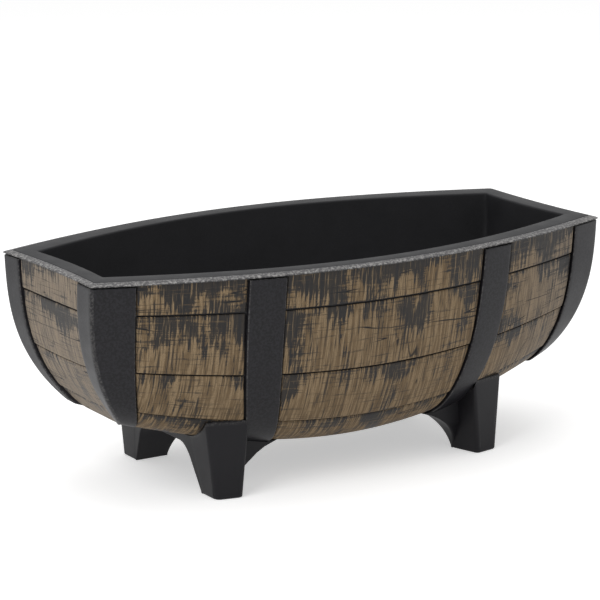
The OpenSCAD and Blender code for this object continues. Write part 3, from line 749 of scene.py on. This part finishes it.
def band_sheet(name, material, node, sweep, x, y, ridge=slice(0), last=0):
    """A band's closed sheet between sweep's outer and inner surface, made paler along its edges, its
    top, its last rows and a ridge, partly as wear and partly as a painted highlight."""
    hull, bands = sizes("hull", "bands")
    outer, inner = sweep(bands.proud, True), sweep(hull.seat_gap - hull.seat_deep, False)
    wear_and_highlight = np.zeros(outer.shape[:2])
    wear_and_highlight[:, 1:4] = wear_and_highlight[:, -4:-1] = 1.0
    wear_and_highlight[:, ridge] = 0.8
    wear_and_highlight[:3] = wear_and_highlight[len(wear_and_highlight) - last :] = 1.0
    shell = Shell("edge")
    shell.sheet(mirrored(outer, x, y), mirrored(inner, x, y), edge=wear_and_highlight)
    place(shell.mesh(name, flip=x * y < 0), material, "black_band", node)


def corner_band(name, material, node, x, y):
    """An angle strip: along the end face, round the corner, and along the long side. The corner is a
    quadratic curve between the two faces, and the foot sinks until it is flush with the panels."""
    hull, bands = sizes("hull", "bands")
    t, row_drop = bands.rows(hull)
    inset, drop = bands.edge_round()
    foot = 1 - inset[::-1] / hull.depth_mid
    above = t < 1 - inset[-1] / hull.depth_mid * 1.3
    t, row_drop = np.concatenate([t[above], foot]), np.concatenate([row_drop[above], drop[::-1]])
    rows, face = t[:, None], np.linspace(0, 1, 9)[None, :]
    q = np.linspace(0, 1, 7)[None, 1:-1, None]

    def sweep(out, rounded):
        """The strip's surface that stands out from the hull, with or without rounded edges."""
        def height(col_drop):
            """Height over the hull, less the drops of row and column up to the edge radius, and
            sinking at the foot."""
            if not rounded:
                return np.broadcast_to(out, (len(t), len(col_drop)))
            lift = out - np.minimum(row_drop[:, None] + col_drop[None, :], bands.edge_r)
            return mix(lift, -hull.seat_deep / 2, smooth(bands.sink, 1, rows))

        flat = height(np.zeros(1))
        corner = hull.side_at(-hull.half_len(rows, flat), rows, flat)
        edge_y, start_y = -bands.corner_y(hull, rows), corner[..., 1] + bands.corner_r
        edge_x, start_x = -bands.corner_x(hull, rows), corner[..., 0] + bands.corner_r
        end_round = hull.end_at(edge_y - inset[None, :], rows, height(drop))
        end_flat = hull.end_at(mix(edge_y - bands.edge_r, start_y, face[:, 1:]), rows, flat)
        side_flat = hull.side_at(mix(start_x, edge_x - bands.edge_r, face[:, :-1]), rows, flat)
        side_round = hull.side_at(edge_x - inset[None, ::-1], rows, height(drop[::-1]))
        turn = bend(end_flat[:, -1:], corner, side_flat[:, :1], q)
        return np.concatenate([end_round, end_flat, turn, side_flat, side_round], axis=1)

    ridge = len(inset) + 8
    band_sheet(name, material, node, sweep, x, y, slice(ridge, ridge + 5))


def hoop(name, material, node, x):
    """A strap that runs down the front wall, under the belly and up the back wall."""
    hull, bands = sizes("hull", "bands")
    t, row_drop = bands.rows(hull)
    inset, drop = bands.edge_round()
    face = np.linspace(0, 1, 13)[1:-1]
    drop = np.concatenate([drop, 0 * face, drop[::-1]])[None, :]
    under = np.linspace(-1, 1, 57)[1:-1, None]

    def across(edges):
        """Places across the strap, with the rounds of its two edges."""
        left, right = -edges[1] + inset, -edges[0] - inset[::-1]
        return np.concatenate([left, mix(left[:, -1:], right[:, :1], face[None, :]), right], axis=1)

    def sweep(out, rounded):
        """The strap's surface that stands out from the hull, with or without rounded edges."""
        wall = out - rounded * np.minimum(row_drop[:, None] + drop, bands.edge_r)
        front = hull.side_at(across(bands.hoop_edges(hull, t[:, None])), t[:, None], wall)
        belly = hull.belly_at(across(bands.hoop_edges(hull, 1 + 0 * under)), under, out - rounded * drop)
        return np.concatenate([front, belly, mirrored(front, y=-1)[::-1]])

    band_sheet(name, material, node, sweep, x, 1, last=3)


def whole_loop(side, end, side_cut, end_cut):
    """A loop anticlockwise from the middle of the left end, made of a front right quarter and its
    mirror images. The quarter is the side's curve from mid-length, a quadratic bend round the corner
    and the end's curve to its middle. side(s) and end(u) give points, and the cuts are the shares of
    each that the bend takes."""
    along, across = side(np.linspace(0, 1, 48) * (1 - side_cut)), end(-np.linspace(1, 0, 16) * (1 - end_cut))
    q = np.linspace(0, 1, 8)[1:-1, None]
    turn = bend(along[-1:], side(np.array([1.0])), across[:1], q)
    quarter = np.concatenate([along, turn, across])
    left = mirrored(quarter, x=-1)
    back, back_left = mirrored(quarter, y=-1), mirrored(left, y=-1)
    return np.concatenate([left[::-1], quarter[1:], back[-2::-1], back_left[1:-1]])


def rim_loop(inset, z):
    """A loop that lies inset from the rim's outer edge, at a height z."""
    hull, rim = sizes("hull", "rim")
    half_l, half_w = hull.rim_len / 2 - inset, hull.rim_w_end / 2 - inset
    swell = (hull.rim_w_mid - hull.rim_w_end) / 2

    def side(s):
        """Points of the front side at shares s of half the length."""
        return xyz(s * half_l, -half_w - swell * hull.bulge(s), z)

    def end(u):
        """Points of the right end at shares u of half the width, hollowed by 1 - u^2."""
        return xyz(half_l - hull.end_hollow * (1 - u**2), u * half_w, z)

    return whole_loop(side, end, rim.corner_r / half_l, rim.corner_r / half_w)


def liner_loop(d, t):
    """A loop of the liner at t: the hull's outline there, moved by d."""
    hull, rim = sizes("hull", "rim")

    def side(s):
        """Points of the front side at shares s of half the length."""
        return xyz(s * hull.half_len(t, d), -hull.half_wid(s, t, d), hull.top - t * hull.depth(s, d))

    def end(u):
        """Points of the right end at shares u of half the width, hollowed by 1 - u^2."""
        x = hull.half_len(t, d) - (hull.end_hollow + hull.end_bow * t**3) * (1 - u**2)
        return xyz(x, u * hull.half_wid(1, t, d), hull.top - t * hull.depth(1, d))

    return whole_loop(side, end, rim.liner_r / hull.half_len(0), rim.liner_r / hull.half_wid(1, 0))


def cut_corner(corner, before, after, size, count=4):
    """Points on a quadratic bend that cuts a profile's corner by size on both sides."""
    corner, before, after = (np.array(v) for v in (corner, before, after))
    a = corner + (before - corner) / np.linalg.norm(before - corner) * size
    b = corner + (after - corner) / np.linalg.norm(after - corner) * size
    return bend(a, corner, b, np.linspace(0, 1, count)[:, None])


def rim_frame(material):
    """The rim: a sloping outer strip with an upright edge, and a ledge inside it for the liner."""
    hull, rim = sizes("hull", "rim")
    bottom, top = hull.height - hull.rim_thick, hull.height
    ledge, inner = bottom + rim.ledge_t, rim.strip_w + rim.ledge_w
    corners = [(0, bottom), (0, bottom + rim.edge_h), (rim.strip_w, top)]
    corners += [(rim.strip_w, ledge), (inner, ledge), (inner, bottom)]
    cuts = [0.0006, 0.0011, 0.0012, 0.0005, 0.0005, 0.0005]
    profile = [cut_corner(corners[k], corners[k - 1], corners[(k + 1) % 6], cuts[k]) for k in range(6)]
    loops = np.stack([rim_loop(inset, z) for inset, z in np.concatenate(profile)])[::-1]
    # Paler marks on the corner atop the upright edge and on the strip's high inner edge: partly wear, partly
    # a painted highlight
    wear_and_highlight = np.repeat([0.0, 0.9, 0.5, 0.0, 0.0, 0.0], 4)[::-1, None]
    shell = Shell("edge")
    g = shell.add(loops, edge=wear_and_highlight)
    shell.around(np.concatenate([g, g[:1]]))
    place(shell.mesh("rim_frame_black"), material, "black_rim", "rim_frame")


def ring(x, radius, z):
    """A circle round an upright axis on the centre line, from its left point anticlockwise."""
    a = math.pi + np.arange(48) * math.pi / 24
    return xyz(x + radius * np.cos(a), radius * np.sin(a), z)


def drill(piece, radius, places, low, high):
    """Cuts upright holes out of a piece for good."""
    cutters = []
    for x in places:
        shell = Shell()
        shell.tube(np.stack([ring(x, radius, high), ring(x, radius, low)]))
        cutters.append(bpy.data.objects.new("cutter", shell.mesh("cutter")))
        bpy.context.collection.objects.link(cutters[-1])
        modifier = piece.modifiers.new("cut", "BOOLEAN")
        modifier.operation, modifier.solver, modifier.object = "DIFFERENCE", "EXACT", cutters[-1]
    bpy.context.view_layer.update()
    drilled = bpy.data.meshes.new_from_object(piece.evaluated_get(bpy.context.evaluated_depsgraph_get()))
    piece.modifiers.clear()
    name, old = piece.data.name, piece.data
    piece.data = drilled
    bpy.data.meshes.remove(old)
    drilled.name = name
    for cutter in cutters:
        bpy.data.objects.remove(cutter)


def liner_tub(material):
    """The liner: a flange on the rim's ledge, a wall at a steady distance inside the hull down to a
    level floor, and two drain bosses. Between wall and floor, a height h above the floor becomes
    (h + sqrt(h^2 + r^2 / 4)) / 2, which is a soft round."""
    hull, rim = sizes("hull", "rim")
    flange_top = hull.height - hull.seat_gap
    flange_low = hull.height - hull.rim_thick + rim.ledge_t + hull.seat_gap
    inner_d, seam, mouth = hull.rim_over - rim.whole_w, rim.strip_w + rim.seam_gap, rim.whole_w

    def wall(d, floor):
        """Loops down a wall and on across the floor."""
        loops = np.stack([liner_loop(d, t) for t in hull.even_rows(rim.liner_step, 0.02)])
        above = loops[..., 2] - floor
        loops[..., 2] = floor + (above + np.sqrt(above**2 + rim.floor_round**2 / 4)) / 2
        return loops

    flange_r = 0.0007
    flange = [(mouth - rim.liner_wall, flange_low), (seam, flange_low),
              *cut_corner((seam, flange_top), (seam, flange_low), (mouth, flange_top), flange_r),
              *cut_corner((mouth, flange_top), (seam, flange_top), (mouth, flange_low), rim.mouth_r, 6)]
    outer = wall(inner_d + rim.liner_wall, rim.liner_floor - rim.liner_wall)
    inner = wall(inner_d, rim.liner_floor)
    shell = Shell("edge")
    shell.tube(np.concatenate([outer[::-1], [rim_loop(*spot) for spot in flange], inner]))
    drains = (-rim.drain_x, rim.drain_x)
    for x in drains:
        boss = [ring(x, rim.drain_d / 2 + rim.boss_wall, z)
                for z in (rim.liner_floor - 0.001, rim.liner_floor - rim.liner_wall - rim.boss_len)]
        shell.tube(np.stack(boss))
    piece = place(shell.mesh("liner_tub_black"), material, "black_liner", "liner_tub", body="liner")
    below, above = 0.03, 0.02
    drill(piece, rim.drain_d / 2, drains, rim.liner_floor - below, rim.liner_floor + above)


def cover_z(hull, bands, x, y, gap):
    """Height of what lies over a leg arch at a place: the hull's underside, or a hoop's, mixed by a
    smooth step from near to far beside the hoop."""
    near, far = 0.0002, 0.0018
    free = hull.underside(x, y, gap)
    strap = hull.underside(x, y, bands.proud + hull.seat_gap)
    inner, outer = bands.hoop_edges(hull, np.clip((hull.top - free) / hull.depth(x / hull.half_len(1)), 0, 1))
    return mix(strap, free, smooth(near, far, np.maximum(np.abs(x) - outer, inner - np.abs(x))))


def soft_square(side, corner):
    """The outline of a square from 0 to 1 both ways, anticlockwise from the middle of its corner at
    0, 0, and how far each point is moved along either way, in radii, to make its corners quarter
    rounds. Returns places a and b and moves da and db."""
    turn, span = np.linspace(0, QUARTER, corner), np.linspace(0, 1, side + 2)[1:-1]
    lead, fall, off, one, nil = 1 - np.sin(turn), 1 - np.cos(turn), 1 - 2 * span, 1 + 0 * turn, 0 * turn
    a = [nil, span, one, 1 + 0 * span, one, 1 - span, nil, 0 * span]
    b = [nil, 0 * span, nil, span, one, 1 + 0 * span, one, 1 - span]
    da = [fall, off, -lead, 0 * span, -fall, -off, lead, 0 * span]
    db = [lead, 0 * span, fall, off, -lead, 0 * span, -fall, -off]
    return tuple(np.roll(np.concatenate(v), -(corner // 2)) for v in (a, b, da, db))


def leg_rings(gap):
    """The front left leg: a four-sided outline with rounded corners that goes in straight lines from
    the foot to the top. Each column of points ends under the hull, and rings near the sole and the
    top are drawn in by a quarter round."""
    hull, bands, legs = sizes("hull", "bands", "legs")

    def wall_y(x):
        """Distance of the staves from the centre line at the leg's top, where t is near 0.84."""
        t = (hull.top - legs.top) / hull.depth(x / hull.half_len(0.84))
        return hull.half_wid(x / hull.half_len(t), t, legs.proud)

    foot_in, back = legs.foot_x - legs.foot_w, legs.foot_y - legs.foot_depth + legs.hidden
    top_out, top_in = legs.foot_x + legs.lean, legs.foot_x - legs.foot_w - legs.widen
    y_out, y_in, turn = wall_y(top_out), wall_y(top_in), legs.skew / 2
    foot = [(legs.foot_x, legs.foot_y - turn), (foot_in, legs.foot_y + turn)]
    foot += [(foot_in - legs.web_in, back), (legs.foot_x, back)]
    top = [(top_out, y_out), (top_in, y_in), (top_in - legs.web_in, y_in / 2), (top_out, y_in / 2)]
    foot_cuts, top_cuts = (0.0065, 0.005, 0.002, 0.0004), (0.003, 0.003, 0.002, 0.0004)

    def outline(corners, cuts, inset):
        """The outline from the middle of its front. Each corner moves 1.3 times the inset towards
        the outline's middle, which draws the sides in by about the inset, and is then cut."""
        corners = -np.array(corners)
        inward = corners.mean(axis=0) - corners
        corners = corners + inward / np.linalg.norm(inward, axis=1)[:, None] * inset * 1.3
        line = []
        for k, size in enumerate(cuts):
            before, here, after = corners[k - 1], corners[k], corners[(k + 1) % 4]
            line += [mix(before, here, np.linspace(0.5, 0.85, 10)[:, None]),
                     cut_corner(here, before, after, size, 8),
                     mix(here, after, np.linspace(0.15, 0.5, 10)[:-1, None])]
        return np.roll(np.concatenate(line), -len(np.concatenate(line)) // 4, axis=0)

    turns = np.linspace(0, QUARTER, 5)
    lead, fall = legs.sole_r * (1 - np.sin(turns)), legs.sole_r * (1 - np.cos(turns))
    middle = np.linspace(legs.sole_r, legs.top - legs.sole_r, 30)[1:-1]
    rise = np.concatenate([fall, middle, legs.top - lead])[:, None]
    insets = np.concatenate([lead, 0 * middle, fall])
    low = np.stack([outline(foot, foot_cuts, inset) for inset in insets])
    high = np.stack([outline(top, top_cuts, inset) for inset in insets])
    z = rise + 0 * low[..., 0]
    for _ in range(PASSES):
        plan = mix(low, high, (z / legs.top)[..., None])
        cap = np.minimum(legs.top, cover_z(hull, bands, plan[-1, :, 0], plan[-1, :, 1], gap))
        z = rise / legs.top * cap[None, :]
    return np.concatenate([plan, z[..., None]], axis=-1)


def web_loops(gap):
    """The arched web that joins a front and a back leg. Stations follow its lower line from the front
    foot up a flank, round a bend and across to the back foot. At each, a rounded four-sided loop
    runs between the lower line and the outer one, and from the planter's end to the curve that
    flares inboard to the belly, or to where little is left under the hoop. Where the outer line meets
    the roof over it, the lower of the two is taken with a fillet, and a skin is always left. A
    radius is at most a share of the loop's height and width."""
    hull, bands, legs = sizes("hull", "bands", "legs")
    foot_in, back = legs.foot_x - legs.foot_w, legs.foot_y - legs.foot_depth
    flank, web_y, straight = legs.arch_flat + legs.arch_bend, legs.foot_y - legs.web_back, legs.arch_straight
    arch_z = hull.belly_at(legs.screw_x_in, 0.0, 0.0)[2] - legs.arch_t
    crook = back - arch_z * (back - flank) / straight
    up, q = np.linspace(0, 1, 14)[:, None], np.linspace(0, 1, 17)[1:, None]
    level = np.linspace(0, 1, 12)[1:, None]

    def points(*spots):
        """Each spot as an array that holds one point."""
        return [np.array([spot]) for spot in spots]

    foot, knee, corner = points((back, 0), (flank, straight), (crook, arch_z))
    edge, middle = points((legs.arch_flat, arch_z), (0, arch_z))
    lower = [mix(foot, knee, up), bend(knee, corner, edge, q), mix(edge, middle, level)]
    foot, knee, corner = points((back + legs.hidden, 0), (web_y, straight), (web_y, legs.shoulder))
    edge, middle = points((legs.arch_flat, legs.top), (0, legs.top))
    upper = [mix(foot, knee, up), mix(knee, corner, q[:8] * 2), mix(corner, edge, q[8:] * 2 - 1),
             mix(edge, middle, level)]
    lines = (np.concatenate(line) for line in (lower, upper))
    lower, upper = (np.concatenate([line * np.array([-1, 1]), line[-2::-1]])[:, None] for line in lines)

    # How far out the web must end for a least thickness under a hoop, by halving
    low, high = legs.reach + 0 * lower[..., 0], legs.foot_x + 0 * lower[..., 0]
    for _ in range(HALVINGS):
        x = (low + high) / 2
        room = cover_z(hull, bands, -x, lower[..., 0], gap) - lower[..., 1] > legs.least
        low, high = np.where(room, low, x), np.where(room, x, high)

    a, b, da, db = soft_square(16, 5)
    sunk, fillet, skin, most = 0.0001, 0.0006, 0.0008, 0.4
    thin = np.maximum(mix(high, legs.reach, smooth(0, 0.5, b)), legs.reach)
    z = mix(lower[..., 1], upper[..., 1], b)
    for _ in range(PASSES):
        outside = -(legs.foot_x + legs.lean * z / legs.top) + sunk
        flare = np.sqrt(np.clip(1 - (z / legs.flare_top) ** 2, 0, 1))
        inside = -np.maximum(foot_in - legs.web_in - legs.flare_len * (1 - flare), thin)
        wide = inside - outside
        x = mix(outside, inside, a)
        roof = cover_z(hull, bands, x, upper[..., 0] + 0 * x, gap)
        outer_z = (upper[..., 1] + roof) / 2 - np.sqrt((upper[..., 1] - roof) ** 2 / 4 + fillet**2)
        outer_z = np.maximum(outer_z, np.minimum(upper[..., 1], lower[..., 1] + skin))
        tall = np.hypot(upper[..., 0] - lower[..., 0], outer_z - lower[..., 1])
        r = np.minimum(legs.edge_r, most * np.minimum(tall, wide))
        rise = b + db * r / tall
        x = mix(outside, inside, a + da * r / wide)
        z = mix(lower[..., 1], outer_z, rise)
    return xyz(x, mix(lower[..., 0], upper[..., 0], rise), z)


def leg_arch(name, material, node, x):
    """A leg arch: a front and a back leg, and the web between them. A loop of a mirrored part runs
    the other way round from the same first point."""
    hull, staves = sizes("hull", "staves")
    gap = staves.lip / 2 + hull.seat_gap
    rings = leg_rings(gap)
    # Paler rings round the sole and the top: partly wear, partly a painted highlight
    wear_and_highlight = np.zeros(rings.shape[:2])
    wear_and_highlight[:4] = wear_and_highlight[-5:] = 0.5
    shell = Shell("edge")
    for loops, y, edge in ((rings, 1, wear_and_highlight), (rings, -1, wear_and_highlight), (web_loops(gap), 1, 0.0)):
        loops = mirrored(loops, x, y)
        if x * y < 0:
            loops = np.concatenate([loops[:, :1], loops[:, :0:-1]], axis=1)
        shell.tube(loops, edge=edge)
    place(shell.mesh(name), material, "black_leg", node)


class PLANTER_OT_staves(bpy.types.Operator):
    """Builds the four stave panels"""

    bl_idname = "planter.staves"
    bl_label = "Stave panels"

    def execute(self, context):
        material = painted_staves()
        # Each stave's own share of paint. The end panels get more, partly as painted light for the brighter
        # light that falls on the ends
        front, back = np.array([-0.19, -0.02, 0.10, -0.02]), np.array([-0.08, 0.03, 0.08, -0.04])
        left, right = np.array([0.0, 0.08, 0.14, 0.02]), np.array([0.02, 0.08, 0.12, 0.04])
        side_staves("front_staves_painted", material, "front_stave_panel", 1, 0.0, front)
        side_staves("back_staves_painted", material, "back_stave_panel", -1, 2.3, back)
        end_staves("left_end_staves_painted", material, "left_end_panel", 1, 4.6, left)
        end_staves("right_end_staves_painted", material, "right_end_panel", -1, 6.1, right)
        return {"FINISHED"}


class PLANTER_OT_bands(bpy.types.Operator):
    """Builds the corner bands and the hoops"""

    bl_idname = "planter.bands"
    bl_label = "Bands and hoops"

    def execute(self, context):
        black = context.scene.planter_colours.black
        material = satin_black("satin_black_bands", black, 0.40, 0.22, 0.26, shade=0.45, mottle=2.4)
        for y, front in ((1, "front"), (-1, "back")):
            for x, side in ((1, "left"), (-1, "right")):
                corner_band(f"{front}_{side}_corner_strip", material, f"{front}_{side}_corner_band", x, y)
        hoop("left_hoop_strap", material, "left_hoop", 1)
        hoop("right_hoop_strap", material, "right_hoop", -1)
        return {"FINISHED"}


class PLANTER_OT_rim(bpy.types.Operator):
    """Builds the rim frame and the liner"""

    bl_idname = "planter.rim"
    bl_label = "Rim and liner"

    def execute(self, context):
        colours = context.scene.planter_colours
        rim_frame(satin_black("satin_black_rim", colours.black, 0.45, 0.35, 1.1))
        liner_tub(satin_black("black_liner_plastic", colours.liner, 0.55, 0.15))
        return {"FINISHED"}


class PLANTER_OT_legs(bpy.types.Operator):
    """Builds the two leg arches"""

    bl_idname = "planter.legs"
    bl_label = "Leg arches"

    def execute(self, context):
        material = satin_black("satin_black_legs", context.scene.planter_colours.black, 0.45, 0.2, shade=0.65)
        leg_arch("left_legs_black", material, "left_leg_arch", 1)
        leg_arch("right_legs_black", material, "right_leg_arch", -1)
        return {"FINISHED"}


class PLANTER_OT_fittings(bpy.types.Operator):
    """Finishes the pieces that keep their CAD shape"""

    bl_idname = "planter.fittings"
    bl_label = "Pan, plugs and screws"

    def execute(self, context):
        colours = context.scene.planter_colours
        finishes = {
            satin_black("satin_black_pan", colours.black, 0.5): ("base_pan",),
            satin_black("drain_plug_rubber", colours.rubber, 0.7): ("left_drain_plug", "right_drain_plug"),
            plated_steel(): ("left_arch_screws", "right_arch_screws"),
        }
        for material, names in finishes.items():
            for name in names:
                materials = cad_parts[name].data.materials
                materials.clear()
                materials.append(material)
        return {"FINISHED"}


class PLANTER_OT_stage(bpy.types.Operator):
    """Builds the floor, the soft lights and the camera"""

    bl_idname = "planter.stage"
    bl_label = "Stage"

    def execute(self, context):
        scene = context.scene
        scene.view_settings.view_transform = "Standard"
        stage_floor(scene)
        stage_world(scene)
        soft_lamp("lamp_left", (-2.2, -0.9, 2.0), 1.6, 26)
        soft_lamp("lamp_top", (0.2, 0.3, 2.6), 2.4, 26)
        stage_camera(scene)
        return {"FINISHED"}


def seen_or_mirrored(tree):
    """1 for what the camera or a reflection sees, and 0 for what only gives light."""
    path = wire(tree, "ShaderNodeLightPath").outputs
    return maths(tree, "MAXIMUM", path["Is Camera Ray"], path["Is Glossy Ray"])


def stage_floor(scene):
    """A wide white floor that keeps the shadow that falls on it. Camera and reflections also see a
    glow of its own, which fills up what the soft light leaves short of white."""
    shell = Shell()
    span, under_feet = np.array([-12.0, 12.0]), 0.0002
    shell.surface(shell.add(xyz(span[None, :], -span[:, None], -under_feet)))
    mesh = shell.mesh("floor")
    material, tree, shader = new_material("pale_floor")
    shader.inputs["Base Color"].default_value = rgba(scene.planter_colours.floor)
    shader.inputs["Roughness"].default_value = 0.9
    shader.inputs["Specular IOR Level"].default_value = 0.0
    shader.inputs["Emission Color"].default_value = WHITE
    glow = maths(tree, "MULTIPLY", seen_or_mirrored(tree), FLOOR_GLOW)
    tree.links.new(glow, shader.inputs["Emission Strength"])
    mesh.materials.append(material)
    floor = bpy.data.objects.new("floor", mesh)
    scene.collection.objects.link(floor)


def stage_world(scene):
    """A white surround that the camera and reflections see at full strength, and that lights the
    object more softly."""
    world = bpy.data.worlds.new("studio")
    world.use_nodes = True
    tree = world.node_tree
    light = tree.nodes["Background"]
    light.inputs["Color"].default_value = WHITE
    tree.links.new(ramp(tree, seen_or_mirrored(tree), 0.0, 1.0, 0.55, 1.0), light.inputs["Strength"])
    scene.world = world


def soft_lamp(name, spot, size, power):
    """A square area lamp that points at the middle of the planter."""
    lamp = bpy.data.lights.new(name, "AREA")
    lamp.shape, lamp.size, lamp.energy = "SQUARE", size, power
    obj = bpy.data.objects.new(name, lamp)
    bpy.context.scene.collection.objects.link(obj)
    away = np.array(spot) - np.array([0, 0, 0.13])
    away = away / np.linalg.norm(away)
    side = np.cross([0, 0, 1.0], away)
    side = side / np.linalg.norm(side)
    obj.matrix_world = turned(side, np.cross(away, side), away, spot)


def turned(right, up, back, spot):
    """A matrix with the given axes and place."""
    return Matrix([*np.stack([right, up, back, spot], axis=1).tolist(), [0, 0, 0, 1]])


def stage_camera(scene):
    """The camera of the photograph, from its place, its heading, dip and roll in degrees, and a focal
    length in pixels of a picture 600 pixels wide."""
    spot = (-1.563, -2.5585, 0.8764)
    heading, dip, roll = (math.radians(v) for v in (31.24, 13.15, -0.52))
    focal_px, picture_px = 2748, 600
    ahead = np.array([math.sin(heading) * math.cos(dip), math.cos(heading) * math.cos(dip), -math.sin(dip)])
    right = np.array([math.cos(heading), -math.sin(heading), 0])
    up = np.cross(right, ahead)
    right, up = math.cos(roll) * right + math.sin(roll) * up, -math.sin(roll) * right + math.cos(roll) * up
    data = bpy.data.cameras.new("camera")
    data.sensor_fit, data.sensor_width = "HORIZONTAL", 36
    data.lens = focal_px / picture_px * data.sensor_width
    data.clip_end = 100
    camera = bpy.data.objects.new("camera", data)
    scene.collection.objects.link(camera)
    camera.matrix_world = turned(right, up, -ahead, spot)
    scene.camera = camera


class PLANTER_PT_panel(bpy.types.Panel):
    """Lists the sizes, the colours and the steps"""

    bl_idname = "PLANTER_PT_panel"
    bl_label = "Half Barrel Planter"
    bl_space_type = "VIEW_3D"
    bl_region_type = "UI"
    bl_category = "Planter"

    def draw(self, context):
        for step in STEPS:
            self.layout.operator(step.bl_idname)
        for group, kind in GROUPS.items():
            for name in kind.__annotations__:
                self.layout.prop(getattr(context.scene, group), name)


STEPS = (
    PLANTER_OT_staves,
    PLANTER_OT_bands,
    PLANTER_OT_rim,
    PLANTER_OT_legs,
    PLANTER_OT_fittings,
    PLANTER_OT_stage,
)
GROUPS = {
    "planter_hull": HullShape,
    "planter_staves": StaveShape,
    "planter_bands": BandShape,
    "planter_rim": RimShape,
    "planter_legs": LegShape,
    "planter_colours": FinishColours,
}


def register():
    """Registers the sizes, the colours, the steps and the panel."""
    for group, kind in GROUPS.items():
        bpy.utils.register_class(kind)
        setattr(bpy.types.Scene, group, PointerProperty(type=kind))
    for kind in (*STEPS, PLANTER_PT_panel):
        bpy.utils.register_class(kind)


def unregister():
    """Removes the panel, the steps, the colours and the sizes."""
    for kind in (PLANTER_PT_panel, *STEPS[::-1]):
        bpy.utils.unregister_class(kind)
    for group, kind in GROUPS.items():
        delattr(bpy.types.Scene, group)
        bpy.utils.unregister_class(kind)


def main():
    """Runs the steps in order."""
    register()
    bpy.ops.planter.staves()
    bpy.ops.planter.bands()
    bpy.ops.planter.rim()
    bpy.ops.planter.legs()
    bpy.ops.planter.fittings()
    bpy.ops.planter.stage()


if __name__ == "__main__":
    main()
